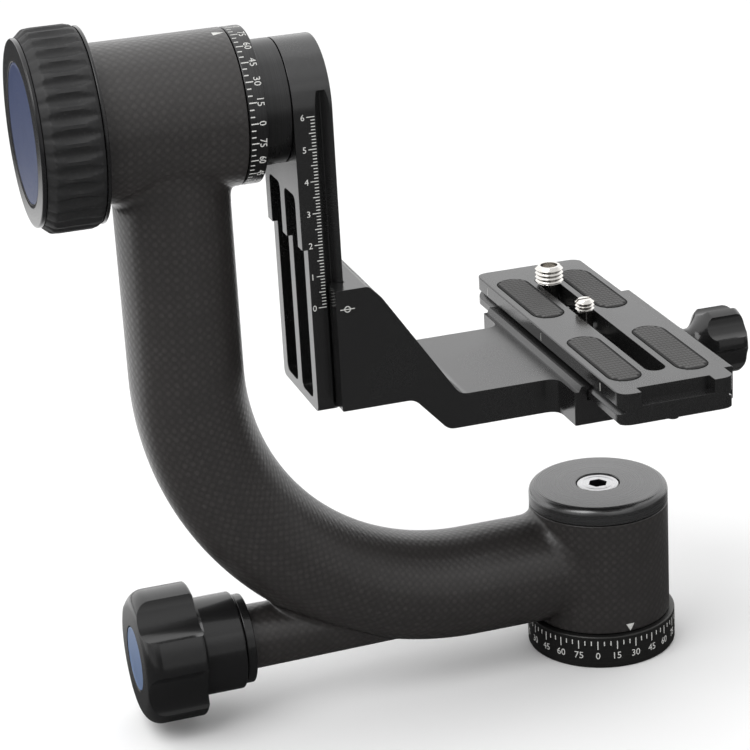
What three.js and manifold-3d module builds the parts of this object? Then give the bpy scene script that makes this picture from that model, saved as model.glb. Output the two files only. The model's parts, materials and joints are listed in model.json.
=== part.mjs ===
// A gimbal tripod head: a J-shaped carbon arm that pans on a round base and carries, at its top, a
// tilting plate with a height-adjustable lens bracket, a quick-release clamp and its sliding plate.
// Millimetres, +Z up. The origin is the centre of the base underside, and X runs along the tilt axis.

import * as THREE from "three";
import { mergeVertices } from "three/addons/utils/BufferGeometryUtils.js";
import Module from "manifold-3d";

const wasm = await Module();
wasm.setup();

// Fits, in millimetres
const fit = { seat: 0.3, run: 0.35, overrun: 1, edge: 0.6 };

// Facets round a circle, by the size of the circle
const facets = {
  large: 40,
  medium: 20,
  small: 14,
  tiny: 8,
  bend: 14,
  sweep: 28,
  hollow: 12,
  hexagon: 6,
  curve: 5,
  slotEnd: 6,
};

const fullTurn = 2 * Math.PI;
const halfTurn = Math.PI;
const quarterTurn = Math.PI / 2;
const degree = Math.PI / 180;

// How close two corners lie to be one, in millimetres
const weldDistance = 1e-4;

// Driving dimensions, in millimetres

const bearing = {
  bore: 20,
  outer: 32,
  width: 7,
  raceWall: 2.2,
  shoulder: 1.32,
  shieldWall: 0.8,
  shieldGap: 0.35,
};

const base = {
  radius: 24.9,
  height: 11.4,
  flangeRadius: 15,
  flangeThickness: 3,
  flangeSink: 0.3,
  bearingGap: 1.3,
  bushRadius: 7,
  threadRadius: 4.76,
  screwCount: 3,
  screwCircle: 11,
  screwRadius: 1.5,
  screwHeadRadius: 2.8,
  screwHeadHeight: 3,
  studDepth: 9,
};

const cup = {
  radius: 23.2,
  top: 50.8,
  bore: 20.2,
  capTop: 56.8,
  capEdge: 1.6,
  spigotWall: 2.6,
  spigotDepth: 4.55,
};

const centreScrew = {
  headRadius: 7,
  recess: 0.3,
  shankRadius: 3.8,
  shankLength: 18,
  hexAcross: 5.7,
  hexDepth: 4,
  washerThickness: 1.6,
  washerRadius: 12,
};

const tilt = {
  height: 201.6,
  housingLeft: -159.2,
  housingRight: -116.7,
  housingRadius: 24,
  housingBore: 20.8,
  ringRadius: 23.9,
  ringWidth: 5.9,
  hubRadius: 19.1,
  hubWidth: 8.1,
  axleCollarRadius: 12,
  axleCollarWidth: 3.2,
  axleTenon: 3.4,
  boltRadius: 4,
  boltLength: 24,
  boltHeadRadius: 6.6,
  boltHeadHeight: 4.8,
  boltHeadSink: 0.6,
  boltHexAcross: 6,
  boltHexDepth: 2.4,
};

const arm = { radius: 18, wall: 3.5, x: -136.6, lowZ: 30.1, bend: 89 };

const panLock = {
  height: 24.7,
  tubeRadius: 10.6,
  tubeRootRadius: 9.9,
  tubeEnd: -124.1,
  tubeRoot: -70,
  flangeRadius: 14.6,
  flangeWidth: 3.4,
  bushRadius: 7,
  bushLength: 12,
  rodRadius: 3,
  shoeRadius: 3.9,
  shoeLength: 11,
  shoeCrown: 3.67,
  skirtRadius: 15.9,
  skirtLength: 14,
  headRadius: 22,
  headLength: 19.6,
  headDome: 5.5,
  rodSink: 6.5,
  firstScallop: 50,
  lobes: 6,
  lobeCutRadius: 15,
  lobeDepth: 2.6,
  discRadius: 10.3,
  discThickness: 1,
  discRecess: 0.15,
  travel: 1,
};

const tiltKnob = {
  gripRadius: 30.5,
  gripLength: 18.5,
  gripWall: 3.2,
  gripGrooves: 36,
  grooveDepth: 0.9,
  grooveRun: 0.45,
  shoulder: 2,
  rearShoulder: 1,
  flangeRadius: 29.6,
  flangeWidth: 1.1,
  capRadius: 28.1,
  capLength: 2.6,
  capEdge: 1.4,
  capSink: 1,
  discRadius: 21,
  discThickness: 0.8,
  discRecess: 0.15,
  screwRadius: 4.9,
  endPlate: 4,
  padThickness: 2.4,
  travel: 1,
};

const swing = {
  halfWidth: 19.1,
  left: -101.8,
  stepDepth: 1.7,
  stepHeight: 159,
  right: -89.6,
  bottom: 106,
  cornerRadius: 2.5,
  grooveStart: 5.1,
  grooveDepth: 2.3,
  grooveFlat: 0.15,
  lip: 0.9,
  rib: 4.8,
  pocketTop: 175,
  pocketFoot: 3.2,
  pocketDepth: 5.6,
  pocketCorner: 2.6,
};

const bracket = {
  halfWidth: 26.5,
  left: -94.4,
  legTop: 147.2,
  legFoot: 108,
  legThickness: 9,
  slopeTop: 143,
  slopeTopX: -79.8,
  slopeFootX: -56,
  underStart: -71,
  underEnd: -60.3,
  platformTop: 107.3,
  platformThickness: 11.1,
  bend: 5,
  crestBend: 2.5,
  crestRun: 4,
  wingX: -23.5,
  wingHalfWidth: 41,
  wingCorner: 4.5,
  travel: 60,
  gibThickness: 2.4,
  gibHalfWidth: 8,
  gibMargin: 6,
  screwRadius: 2,
  screwHeadRadius: 3.5,
  screwHeadHeight: 4,
  screwHexAcross: 3,
  screwHexDepth: 2,
  screwSink: 3,
  lowScrew: 120,
  highScrew: 133,
};

const clamp = {
  flangeHalfWidth: 19.15,
  baseClearance: 0.09,
  lipRise: 1.7,
  lipSlope: 0.85,
  lipWidth: 2.6,
  jawOuter: 30.2,
  opening: 2.5,
  pinRadius: 1.3,
  pinSpread: 28,
  pinDepth: 12,
  pinWall: 1.2,
  springWire: 0.6,
  springRadius: 2.3,
  springTurns: 4,
  springPocket: 6,
  jawSpringPocket: 3,
  screwRadius: 2.5,
  screwDepth: 14,
  washerRadius: 6,
  washerThickness: 1,
  neckRadius: 5.2,
  neckLength: 5.2,
  neckStraight: 1.8,
  headRadius: 11.4,
  headLength: 13.8,
  headDome: 2.4,
  threadSink: 7,
  firstScallop: 139,
  lobes: 6,
  lobeCutRadius: 8,
  lobeDepth: 1.6,
};

const plate = {
  centreY: -3.3,
  length: 126.6,
  top: 114.7,
  thickness: 10.2,
  upperFlange: 4.4,
  lowerFlange: 2.9,
  notchDepth: 2.3,
  cornerRadius: 4.5,
  topEdge: 0.3,
  slotHalfWidth: 3.4,
  slotNearInset: 14.6,
  slotFarInset: 13,
  counterHalfWidth: 6.6,
  counterDepth: 4,
  recessWidth: 24.2,
  recessDepth: 4,
  padOffset: 11.2,
  padHalfWidth: 5.3,
  padInner: 10.5,
  padLength: 42.2,
  padSink: 0.8,
  padRise: 0.4,
  stopInset: 4.6,
  stopRadius: 2,
  stopHeadHeight: 1.5,
  stopShank: 3,
  stopShankRadius: 1.3,
};

const bigScrew = { farInset: 21, threadRadius: 4.76, rise: 6.8, neckRadius: 3.05, socketRadius: 2.9 };
const smallScrew = { farInset: 52.4, threadRadius: 3.17, rise: 4.6, neckRadius: 2.6, slotWidth: 0.9 };
const cameraScrew = {
  threadPitch: 1.5,
  crestShare: 0.5,
  threadDepth: 0.55,
  neckAbove: 0.9,
  headRadius: 5.9,
  headHeight: 2,
  washerThickness: 0.9,
  socketDepth: 3.5,
  slotDepth: 1,
};

// Where the rings of a rounded edge stand, as shares of its quarter turn
const domeShares = { front: [0, 0.3, 0.6, 1], back: [0, 0.35, 0.7, 1] };

// Where the rings of the rubber grip stand, as shares of its length
const gripShares = { run: 0.16, middle: 0.5 };

// Solids

/** Turn a three.js geometry into a manifold-3d solid, with its faces pointing out. */
function solid(geometry) {
  const bare = geometry.index ? geometry.toNonIndexed() : geometry.clone();
  const shape = new THREE.BufferGeometry().setAttribute("position", bare.getAttribute("position"));
  const merged = mergeVertices(shape, weldDistance);
  const place = merged.getAttribute("position");
  const index = merged.index.array;
  const corners = [];
  let volume = 0;
  const [a, b, c] = [new THREE.Vector3(), new THREE.Vector3(), new THREE.Vector3()];
  for (let i = 0; i < index.length; i += 3) {
    const [p, q, r] = [index[i], index[i + 1], index[i + 2]];
    if (p === q || q === r || r === p) continue;
    corners.push(p, q, r);
    a.fromBufferAttribute(place, p);
    b.fromBufferAttribute(place, q);
    c.fromBufferAttribute(place, r);
    volume += a.dot(b.cross(c));
  }
  if (volume < 0) corners.reverse();
  return new wasm.Manifold(
    new wasm.Mesh({
      numProp: 3,
      vertProperties: new Float32Array(place.array),
      triVerts: new Uint32Array(corners),
    }),
  );
}

/** The three.js geometry of a manifold-3d solid. */
function geometryOf(made) {
  const mesh = made.getMesh();
  const geometry = new THREE.BufferGeometry();
  geometry.setAttribute("position", new THREE.BufferAttribute(mesh.vertProperties, mesh.numProp));
  geometry.setIndex(new THREE.BufferAttribute(mesh.triVerts, 1));
  geometry.computeVertexNormals();
  return geometry;
}

const join = (first, ...others) => others.reduce((whole, next) => whole.add(next), first);
const cut = (first, ...tools) => tools.reduce((rest, tool) => rest.subtract(tool), first);

/** Which way a turned or extruded form lies: the matrix that carries it from its drawing. */
const toward = {
  x: new THREE.Matrix4().makeBasis(axis(0, 1, 0), axis(0, 0, 1), axis(1, 0, 0)),
  y: new THREE.Matrix4().makeBasis(axis(1, 0, 0), axis(0, 0, 1), axis(0, -1, 0)),
  z: new THREE.Matrix4(),
};

function axis(x, y, z) {
  return new THREE.Vector3(x, y, z);
}

/** Turn a closed profile of [radius, place along the axis] about the X or Z axis through a centre. */
function turned(profile, way, sides, centre = [0, 0]) {
  const points = profile.map(([radius, along]) => new THREE.Vector2(radius, along));
  const ends = [points[0], points[points.length - 1]];
  if (ends[0].x > 0 || ends[1].x > 0) points.push(ends[0].clone());
  const geometry = new THREE.LatheGeometry(points, sides);
  if (way === "x") geometry.rotateZ(-quarterTurn).translate(0, centre[0], centre[1]);
  else geometry.rotateX(quarterTurn).translate(centre[0], centre[1], 0);
  return solid(geometry);
}

/** A round bar between two places on its axis. */
function bar(radius, from, to, way, sides, centre) {
  return turned([[0, from], [radius, from], [radius, to], [0, to]], way, sides, centre);
}

/** A round tube between two places on its axis. */
function tube(inner, outer, from, to, way, sides, centre) {
  return turned([[inner, from], [outer, from], [outer, to], [inner, to]], way, sides, centre);
}

/** Extrude an outline between two places along an axis: X takes (y, z), Y takes (x, z), Z takes (x, y). */
function extruded(shape, from, to, way, curveSegments = facets.curve) {
  const depth = to - from;
  const geometry = new THREE.ExtrudeGeometry(shape, { depth, bevelEnabled: false, curveSegments });
  geometry.applyMatrix4(toward[way]);
  if (way === "x") geometry.translate(from, 0, 0);
  if (way === "y") geometry.translate(0, to, 0);
  if (way === "z") geometry.translate(0, 0, from);
  return solid(geometry);
}

/** An outline through [u, v, radius] corners, each rounded by its radius. */
function rounded(corners) {
  const shape = new THREE.Shape();
  const count = corners.length;
  const point = (i) => new THREE.Vector2(corners[i][0], corners[i][1]);
  for (let i = 0; i < count; i++) {
    const here = point(i);
    const before = point((i + count - 1) % count).sub(here);
    const after = point((i + 1) % count).sub(here);
    const radius = corners[i][2] ?? 0;
    const half = Math.acos(before.dot(after) / (before.length() * after.length())) / 2;
    const back = Math.min(radius / Math.tan(half), before.length() / 2, after.length() / 2);
    const start = here.clone().add(before.setLength(back));
    const end = here.clone().add(after.setLength(back));
    if (i === 0) shape.moveTo(start.x, start.y);
    else shape.lineTo(start.x, start.y);
    if (radius > 0) shape.quadraticCurveTo(here.x, here.y, end.x, end.y);
  }
  shape.closePath();
  return shape;
}

/** A rectangle between two corners, with all four corners rounded alike. */
function block([u0, v0], [u1, v1], radius = 0) {
  return rounded([[u0, v0, radius], [u1, v0, radius], [u1, v1, radius], [u0, v1, radius]]);
}

/** A slot outline: two half circles joined by straight sides, running along the second coordinate. */
function slotted(u, v0, v1, halfWidth) {
  const shape = new THREE.Shape();
  shape.absarc(u, v1 - halfWidth, halfWidth, 0, halfTurn);
  shape.absarc(u, v0 + halfWidth, halfWidth, halfTurn, fullTurn);
  shape.closePath();
  return shape;
}

/** A closed skin through rings of points, with a fan of triangles over each end. */
function lofted(rings) {
  const around = rings[0].length;
  const points = rings.flat();
  const index = [];
  for (let row = 0; row + 1 < rings.length; row++) {
    for (let i = 0; i < around; i++) {
      const here = row * around + i;
      const next = row * around + ((i + 1) % around);
      index.push(here, next, next + around, here, next + around, here + around);
    }
  }
  [0, rings.length - 1].forEach((row) => {
    const centre = new THREE.Vector3();
    rings[row].forEach((point) => centre.addScaledVector(point, 1 / around));
    points.push(centre);
    for (let i = 0; i < around; i++) {
      const here = row * around + i;
      const next = row * around + ((i + 1) % around);
      index.push(points.length - 1, ...(row === 0 ? [next, here] : [here, next]));
    }
  });
  const geometry = new THREE.BufferGeometry().setFromPoints(points);
  geometry.setIndex(index);
  return solid(geometry);
}

/** Round bars that cut equal scallops round a knob, leaving its lobes. */
function scallops(knob, from, to, centre) {
  const reach = knob.headRadius - knob.lobeDepth + knob.lobeCutRadius;
  const tools = [];
  for (let i = 0; i < knob.lobes; i++) {
    const angle = knob.firstScallop * degree + (i * fullTurn) / knob.lobes;
    const at = [centre[0] + reach * Math.cos(angle), centre[1] + reach * Math.sin(angle)];
    tools.push(bar(knob.lobeCutRadius, from, to, "x", facets.medium, at));
  }
  return tools;
}

// Parts

const head = new THREE.Group();

const finishes = {
  carbon: new THREE.MeshStandardMaterial({ color: 0x363435, roughness: 0.5, metalness: 0.1 }),
  anodised: new THREE.MeshStandardMaterial({ color: 0x3c3c3c, roughness: 0.45, metalness: 0.6 }),
  knob: new THREE.MeshStandardMaterial({ color: 0x242424, roughness: 0.35, metalness: 0.3 }),
  gloss: new THREE.MeshStandardMaterial({ color: 0x141414, roughness: 0.15, metalness: 0.2 }),
  rubber: new THREE.MeshStandardMaterial({ color: 0x262626, roughness: 0.85, metalness: 0 }),
  steel: new THREE.MeshStandardMaterial({ color: 0xb9b9b6, roughness: 0.3, metalness: 1 }),
  nickel: new THREE.MeshStandardMaterial({ color: 0xd8d4ca, roughness: 0.15, metalness: 1 }),
  brass: new THREE.MeshStandardMaterial({ color: 0xb08d4a, roughness: 0.4, metalness: 1 }),
  navy: new THREE.MeshStandardMaterial({ color: 0x2f3f6b, roughness: 0.4, metalness: 0.1 }),
  sky: new THREE.MeshStandardMaterial({ color: 0x8fa6cc, roughness: 0.4, metalness: 0.1 }),
};

/** Add one named piece to the head. */
function add(name, made, finish) {
  const mesh = new THREE.Mesh(geometryOf(made), finishes[finish]);
  mesh.name = name;
  head.add(mesh);
}

const raceBore = (bearing.bore + fit.seat) / 2;
const raceOuter = bearing.outer / 2;
const shaftRadius = (bearing.bore - fit.seat) / 2;
const liningBore = raceOuter + fit.seat;

/** A sealed ball bearing between two places on its axis: its inner race and its shielded outer race. */
function addBearing(name, from, way, centre) {
  const to = from + bearing.width;
  const innerTop = raceBore + bearing.raceWall;
  const outerBore = raceOuter - bearing.raceWall;
  const shieldBore = innerTop + bearing.shieldGap;
  const wall = bearing.shieldWall;
  add(`${name}_inner_race`, tube(raceBore, innerTop, from, to, way, facets.medium, centre), "steel");
  const outer = turned(
    [
      [shieldBore, from],
      [raceOuter, from],
      [raceOuter, to],
      [outerBore, to],
      [outerBore, from + wall],
      [shieldBore, from + wall],
    ],
    way,
    facets.medium,
    centre,
  );
  add(`${name}_outer_race`, outer, "steel");
}

// Pan base and the spindle that stands in it

const spindleFlangeFoot = base.height - base.flangeThickness - base.flangeSink;
const flangeTop = spindleFlangeFoot + base.flangeThickness;
const cupFoot = base.height + fit.seat;
const lowerBearingFoot = flangeTop + base.bearingGap;
const lowerBearingTop = lowerBearingFoot + bearing.width;
const capSpigotFoot = cup.top - cup.spigotDepth;
const upperBearingTop = capSpigotFoot - fit.seat;
const upperBearingFoot = upperBearingTop - bearing.width;
const spindleShoulder = raceBore + bearing.shoulder;
const spindleTop = upperBearingTop - fit.seat;
const washerFoot = upperBearingTop + fit.seat;
const washerTop = washerFoot + centreScrew.washerThickness;

function addPanBase() {
  const pocket = spindleFlangeFoot - fit.seat;
  const body = turned(
    [
      [base.bushRadius + fit.seat, 0],
      [base.radius - fit.edge, 0],
      [base.radius, fit.edge],
      [base.radius, base.height - fit.edge],
      [base.radius - fit.edge, base.height],
      [base.flangeRadius + fit.seat, base.height],
      [base.flangeRadius + fit.seat, pocket],
      [base.bushRadius + fit.seat, pocket],
    ],
    "z",
    facets.large,
  );
  const holes = [];
  for (let i = 0; i < base.screwCount; i++) {
    const angle = quarterTurn + (i * fullTurn) / base.screwCount;
    const at = [base.screwCircle * Math.cos(angle), base.screwCircle * Math.sin(angle)];
    const headTop = fit.edge + base.screwHeadHeight + fit.seat;
    holes.push(bar(base.screwRadius + fit.seat, -fit.overrun, pocket + fit.overrun, "z", facets.tiny, at));
    holes.push(bar(base.screwHeadRadius + fit.seat, -fit.overrun, headTop, "z", facets.tiny, at));
  }
  add("pan_base_ring", cut(body, ...holes), "anodised");

  const bush = tube(base.threadRadius, base.bushRadius, fit.seat, pocket, "z", facets.small);
  add("thread_bush", bush, "steel");
}

function addSpindle() {
  const boreTop = spindleFlangeFoot + base.studDepth;
  const collar = lowerBearingFoot - fit.seat;
  const body = turned(
    [
      [base.threadRadius + fit.seat, spindleFlangeFoot],
      [base.flangeRadius, spindleFlangeFoot],
      [base.flangeRadius, flangeTop],
      [spindleShoulder, flangeTop],
      [spindleShoulder, collar],
      [shaftRadius, collar],
      [shaftRadius, lowerBearingTop + fit.seat],
      [spindleShoulder, lowerBearingTop + fit.seat],
      [spindleShoulder, upperBearingFoot - fit.seat],
      [shaftRadius, upperBearingFoot - fit.seat],
      [shaftRadius, spindleTop],
      [centreScrew.shankRadius + fit.seat, spindleTop],
      [centreScrew.shankRadius + fit.seat, washerTop - centreScrew.shankLength - fit.overrun],
      [0, washerTop - centreScrew.shankLength - fit.overrun],
      [0, boreTop],
      [base.threadRadius + fit.seat, boreTop],
    ],
    "z",
    facets.medium,
  );
  const holes = [];
  for (let i = 0; i < base.screwCount; i++) {
    const angle = quarterTurn + (i * fullTurn) / base.screwCount;
    const at = [base.screwCircle * Math.cos(angle), base.screwCircle * Math.sin(angle)];
    const tip = flangeTop - fit.edge;
    const headTop = fit.edge + base.screwHeadHeight;
    const from = spindleFlangeFoot - fit.overrun;
    holes.push(bar(base.screwRadius + fit.seat, from, flangeTop + fit.overrun, "z", facets.tiny, at));
    const screw = turned(
      [
        [0, fit.edge],
        [base.screwHeadRadius, fit.edge],
        [base.screwHeadRadius, headTop],
        [base.screwRadius, headTop],
        [base.screwRadius, tip],
        [0, tip],
      ],
      "z",
      facets.tiny,
      at,
    );
    add(`spindle_screw_${i + 1}`, screw, "steel");
  }
  add("pan_spindle", cut(body, ...holes), "steel");
}

function hexagon(across, from, to, way, centre) {
  return bar(across / Math.sqrt(3), from, to, way, facets.hexagon, centre);
}

function addCentreScrew() {
  const top = cup.capTop - centreScrew.recess;
  const foot = washerTop - centreScrew.shankLength;
  const shank = washerTop + fit.seat;
  const body = turned(
    [
      [0, foot],
      [centreScrew.shankRadius, foot],
      [centreScrew.shankRadius, shank],
      [centreScrew.headRadius, shank],
      [centreScrew.headRadius, top],
      [0, top],
    ],
    "z",
    facets.medium,
  );
  const socket = hexagon(centreScrew.hexAcross, top - centreScrew.hexDepth, top + fit.overrun, "z", [0, 0]);
  add("pan_centre_screw", cut(body, socket), "nickel");
  const washerBore = centreScrew.shankRadius + fit.seat;
  const washer = tube(washerBore, centreScrew.washerRadius, washerFoot, washerTop, "z", facets.medium);
  add("pan_retaining_washer", washer, "steel");
}

// The arm, with the cup over the base and the housing at its top

/** A round bar along the centre line of the arm: down, round the bend and in to the pan axis. */
function armBar(radius, sides) {
  const bendX = arm.x + arm.bend;
  const bendZ = arm.lowZ + arm.bend;
  const ring = (turn, x, z) => {
    const points = [];
    for (let i = 0; i < sides; i++) {
      const angle = (i * fullTurn) / sides;
      const out = radius * Math.cos(angle);
      points.push(axis(x - out * Math.cos(turn), radius * Math.sin(angle), z - out * Math.sin(turn)));
    }
    return points;
  };
  const rings = [ring(0, arm.x, tilt.height)];
  for (let i = 0; i <= facets.bend; i++) {
    const turn = (quarterTurn * i) / facets.bend;
    rings.push(ring(turn, bendX - arm.bend * Math.cos(turn), bendZ - arm.bend * Math.sin(turn)));
  }
  rings.push(ring(quarterTurn, 0, arm.lowZ));
  return lofted(rings);
}

const linerTop = cup.top - fit.seat;
const shoeBore = panLock.shoeRadius + fit.run;

function addArm() {
  const panAxis = [0, panLock.height];
  const tiltAxis = [0, tilt.height];
  const cupShell = bar(cup.radius, cupFoot, cup.top, "z", facets.large);
  const housing = bar(tilt.housingRadius, tilt.housingLeft, tilt.housingRight, "x", facets.large, tiltAxis);
  const lockTube = turned(
    [
      [0, panLock.tubeEnd],
      [panLock.tubeRadius, panLock.tubeEnd],
      [panLock.tubeRootRadius, panLock.tubeRoot],
      [0, panLock.tubeRoot],
    ],
    "x",
    facets.medium,
    panAxis,
  );
  const bushEnd = panLock.tubeEnd + panLock.bushLength + fit.seat;
  const bushBore = panLock.bushRadius + fit.seat;
  const rodBore = panLock.rodRadius + fit.run;
  const housingFrom = tilt.housingLeft - fit.overrun;
  const housingTo = tilt.housingRight + fit.overrun;
  const outside = join(armBar(arm.radius, facets.sweep), cupShell, housing, lockTube);
  const inside = [
    armBar(arm.radius - arm.wall, facets.hollow),
    bar(cup.bore, cupFoot - fit.overrun, cup.top + fit.overrun, "z", facets.large),
    bar(tilt.housingBore, housingFrom, housingTo, "x", facets.large, tiltAxis),
    bar(rodBore, panLock.tubeEnd - fit.overrun, 0, "x", facets.small, panAxis),
    bar(bushBore, panLock.tubeEnd - fit.overrun, bushEnd, "x", facets.small, panAxis),
  ];
  add("gimbal_arm", cut(outside, ...inside), "carbon");
}

function addPanLiner() {
  const outer = cup.bore - fit.seat;
  const ledge = raceOuter - bearing.raceWall;
  const lowLedge = lowerBearingTop + fit.seat;
  const highLedge = upperBearingFoot - fit.seat;
  const body = turned(
    [
      [liningBore, cupFoot + fit.seat],
      [outer, cupFoot + fit.seat],
      [outer, linerTop],
      [liningBore, linerTop],
      [liningBore, highLedge],
      [ledge, highLedge],
      [ledge, lowLedge],
      [liningBore, lowLedge],
    ],
    "z",
    facets.medium,
  );
  const shoeHole = bar(shoeBore, -cup.bore - fit.overrun, 0, "x", facets.small, [0, panLock.height]);
  add("pan_liner", cut(body, shoeHole), "anodised");
}

function addBaseCap() {
  const capFoot = cup.top + fit.seat;
  const body = turned(
    [
      [centreScrew.headRadius + fit.run, capFoot],
      [raceOuter - cup.spigotWall, capFoot],
      [raceOuter - cup.spigotWall, capSpigotFoot],
      [raceOuter, capSpigotFoot],
      [raceOuter, capFoot],
      [cup.radius, capFoot],
      [cup.radius, cup.capTop - cup.capEdge],
      [cup.radius - cup.capEdge * (1 - Math.SQRT1_2), cup.capTop - cup.capEdge * (1 - Math.SQRT1_2)],
      [cup.radius - cup.capEdge, cup.capTop],
      [centreScrew.headRadius + fit.run, cup.capTop],
    ],
    "z",
    facets.large,
  );
  add("pan_cap", body, "gloss");
}

// The tilt axis: liner, bearings, axle and what turns with it

const rightBearingEnd = tilt.housingRight - tilt.axleCollarWidth;
const rightBearingStart = rightBearingEnd - bearing.width;
const endPlateRight = tilt.housingLeft + fit.seat + tiltKnob.endPlate;
const padLeft = endPlateRight + fit.run + tiltKnob.travel;
const padRight = padLeft + tiltKnob.padThickness;
const axleLeft = padRight + fit.seat;
const leftBearingStart = axleLeft + fit.edge;
const leftBearingEnd = leftBearingStart + bearing.width;

function addTiltLiner() {
  const outer = tilt.housingBore - fit.seat;
  const ledge = raceOuter - bearing.raceWall;
  const body = turned(
    [
      [liningBore, tilt.housingLeft + fit.seat],
      [outer, tilt.housingLeft + fit.seat],
      [outer, tilt.housingRight - fit.seat],
      [liningBore, tilt.housingRight - fit.seat],
      [liningBore, rightBearingStart - fit.seat],
      [ledge, rightBearingStart - fit.seat],
      [ledge, leftBearingEnd + fit.seat],
      [liningBore, leftBearingEnd + fit.seat],
    ],
    "x",
    facets.medium,
    [0, tilt.height],
  );
  add("tilt_liner", body, "anodised");
}

const ringLeft = tilt.housingRight + fit.seat;
const ringRight = ringLeft + tilt.ringWidth;
const hubLeft = ringRight;
const hubRight = swing.left - fit.seat;

function addAxle() {
  const centre = [0, tilt.height];
  const tenonEnd = swing.left + tilt.axleTenon;
  const threadEnd = swing.right - tilt.boltHeadSink - tilt.boltHeadHeight - tilt.boltLength - fit.overrun;
  const collarLeft = rightBearingEnd + fit.seat;
  const axle = turned(
    [
      [0, axleLeft],
      [shaftRadius, axleLeft],
      [shaftRadius, collarLeft],
      [tilt.axleCollarRadius, collarLeft],
      [tilt.axleCollarRadius, ringLeft - fit.seat],
      [shaftRadius, ringLeft - fit.seat],
      [shaftRadius, tenonEnd],
      [tilt.boltRadius + fit.seat, tenonEnd],
      [tilt.boltRadius + fit.seat, threadEnd],
      [0, threadEnd],
    ],
    "x",
    facets.medium,
    centre,
  );
  add("tilt_axle", axle, "steel");

  const bore = shaftRadius + fit.seat;
  const ring = tube(bore, tilt.ringRadius, ringLeft, ringRight - fit.seat, "x", facets.large, centre);
  add("tilt_scale_ring", ring, "anodised");
  add("tilt_hub", tube(bore, tilt.hubRadius, hubLeft, hubRight, "x", facets.large, centre), "anodised");

  const headRight = swing.right - tilt.boltHeadSink;
  const headLeft = headRight - tilt.boltHeadHeight;
  const bolt = turned(
    [
      [0, headLeft - tilt.boltLength],
      [tilt.boltRadius, headLeft - tilt.boltLength],
      [tilt.boltRadius, headLeft],
      [tilt.boltHeadRadius, headLeft],
      [tilt.boltHeadRadius, headRight],
      [0, headRight],
    ],
    "x",
    facets.small,
    centre,
  );
  const socketFoot = headRight - tilt.boltHexDepth;
  const socket = hexagon(tilt.boltHexAcross, socketFoot, headRight + fit.overrun, "x", centre);
  add("axle_bolt", cut(bolt, socket), "steel");
}

/** The upright plate: two pockets in its left face, and a dovetail groove up both of its edges. */
function addSwingPlate() {
  const centre = [0, tilt.height];
  const half = swing.halfWidth;
  const lowLeft = swing.left + swing.stepDepth;
  const outline = new THREE.Shape();
  outline.absarc(0, tilt.height, half, 0, halfTurn);
  outline.lineTo(-half, swing.bottom + swing.cornerRadius);
  outline.quadraticCurveTo(-half, swing.bottom, -half + swing.cornerRadius, swing.bottom);
  outline.lineTo(half - swing.cornerRadius, swing.bottom);
  outline.quadraticCurveTo(half, swing.bottom, half, swing.bottom + swing.cornerRadius);
  outline.closePath();
  const body = extruded(outline, swing.left, swing.right, "x", facets.small);

  const step = extruded(
    block([-half - fit.overrun, swing.bottom - fit.overrun], [half + fit.overrun, swing.stepHeight]),
    swing.left - fit.overrun,
    lowLeft,
    "x",
  );
  const tools = [step];
  const pocketFloor = lowLeft + swing.pocketDepth;
  const pocketFoot = swing.bottom + swing.pocketFoot;
  for (const side of [-1, 1]) {
    const inner = (side * swing.rib) / 2;
    const outer = side * (half - swing.rib);
    const pocket = block([inner, pocketFoot], [outer, swing.pocketTop], swing.pocketCorner);
    tools.push(extruded(pocket, swing.left - fit.overrun, pocketFloor, "x"));
  }
  const grooveLeft = lowLeft + swing.grooveStart;
  const grooveRight = swing.right - swing.lip;
  const grooveMiddle = (grooveLeft + grooveRight) / 2;
  const grooveTop = bracket.legTop + bracket.travel + fit.run;
  for (const side of [-1, 1]) {
    const groove = new THREE.Shape();
    groove.moveTo(grooveLeft, side * (half + fit.edge));
    groove.lineTo(grooveLeft, side * half);
    groove.lineTo(grooveMiddle - swing.grooveFlat, side * (half - swing.grooveDepth));
    groove.lineTo(grooveMiddle + swing.grooveFlat, side * (half - swing.grooveDepth));
    groove.lineTo(grooveRight, side * half);
    groove.lineTo(grooveRight, side * (half + fit.edge));
    tools.push(extruded(groove, swing.bottom - fit.overrun, grooveTop, "z"));
  }
  const tenonEnd = swing.left + tilt.axleTenon + fit.seat;
  const headLeft = swing.right - tilt.boltHeadSink - tilt.boltHeadHeight - fit.seat;
  tools.push(bar(shaftRadius + fit.seat, swing.left - fit.overrun, tenonEnd, "x", facets.medium, centre));
  tools.push(bar(tilt.boltRadius + fit.seat, swing.left, swing.right, "x", facets.small, centre));
  tools.push(
    bar(tilt.boltHeadRadius + fit.seat, headLeft, swing.right + fit.overrun, "x", facets.small, centre),
  );
  add("swing_plate", cut(body, ...tools), "anodised");
}

// Pan lock: knob, rod and brake shoe, which travel together as the knob turns

const shoeTip = -(spindleShoulder + fit.seat);

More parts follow.
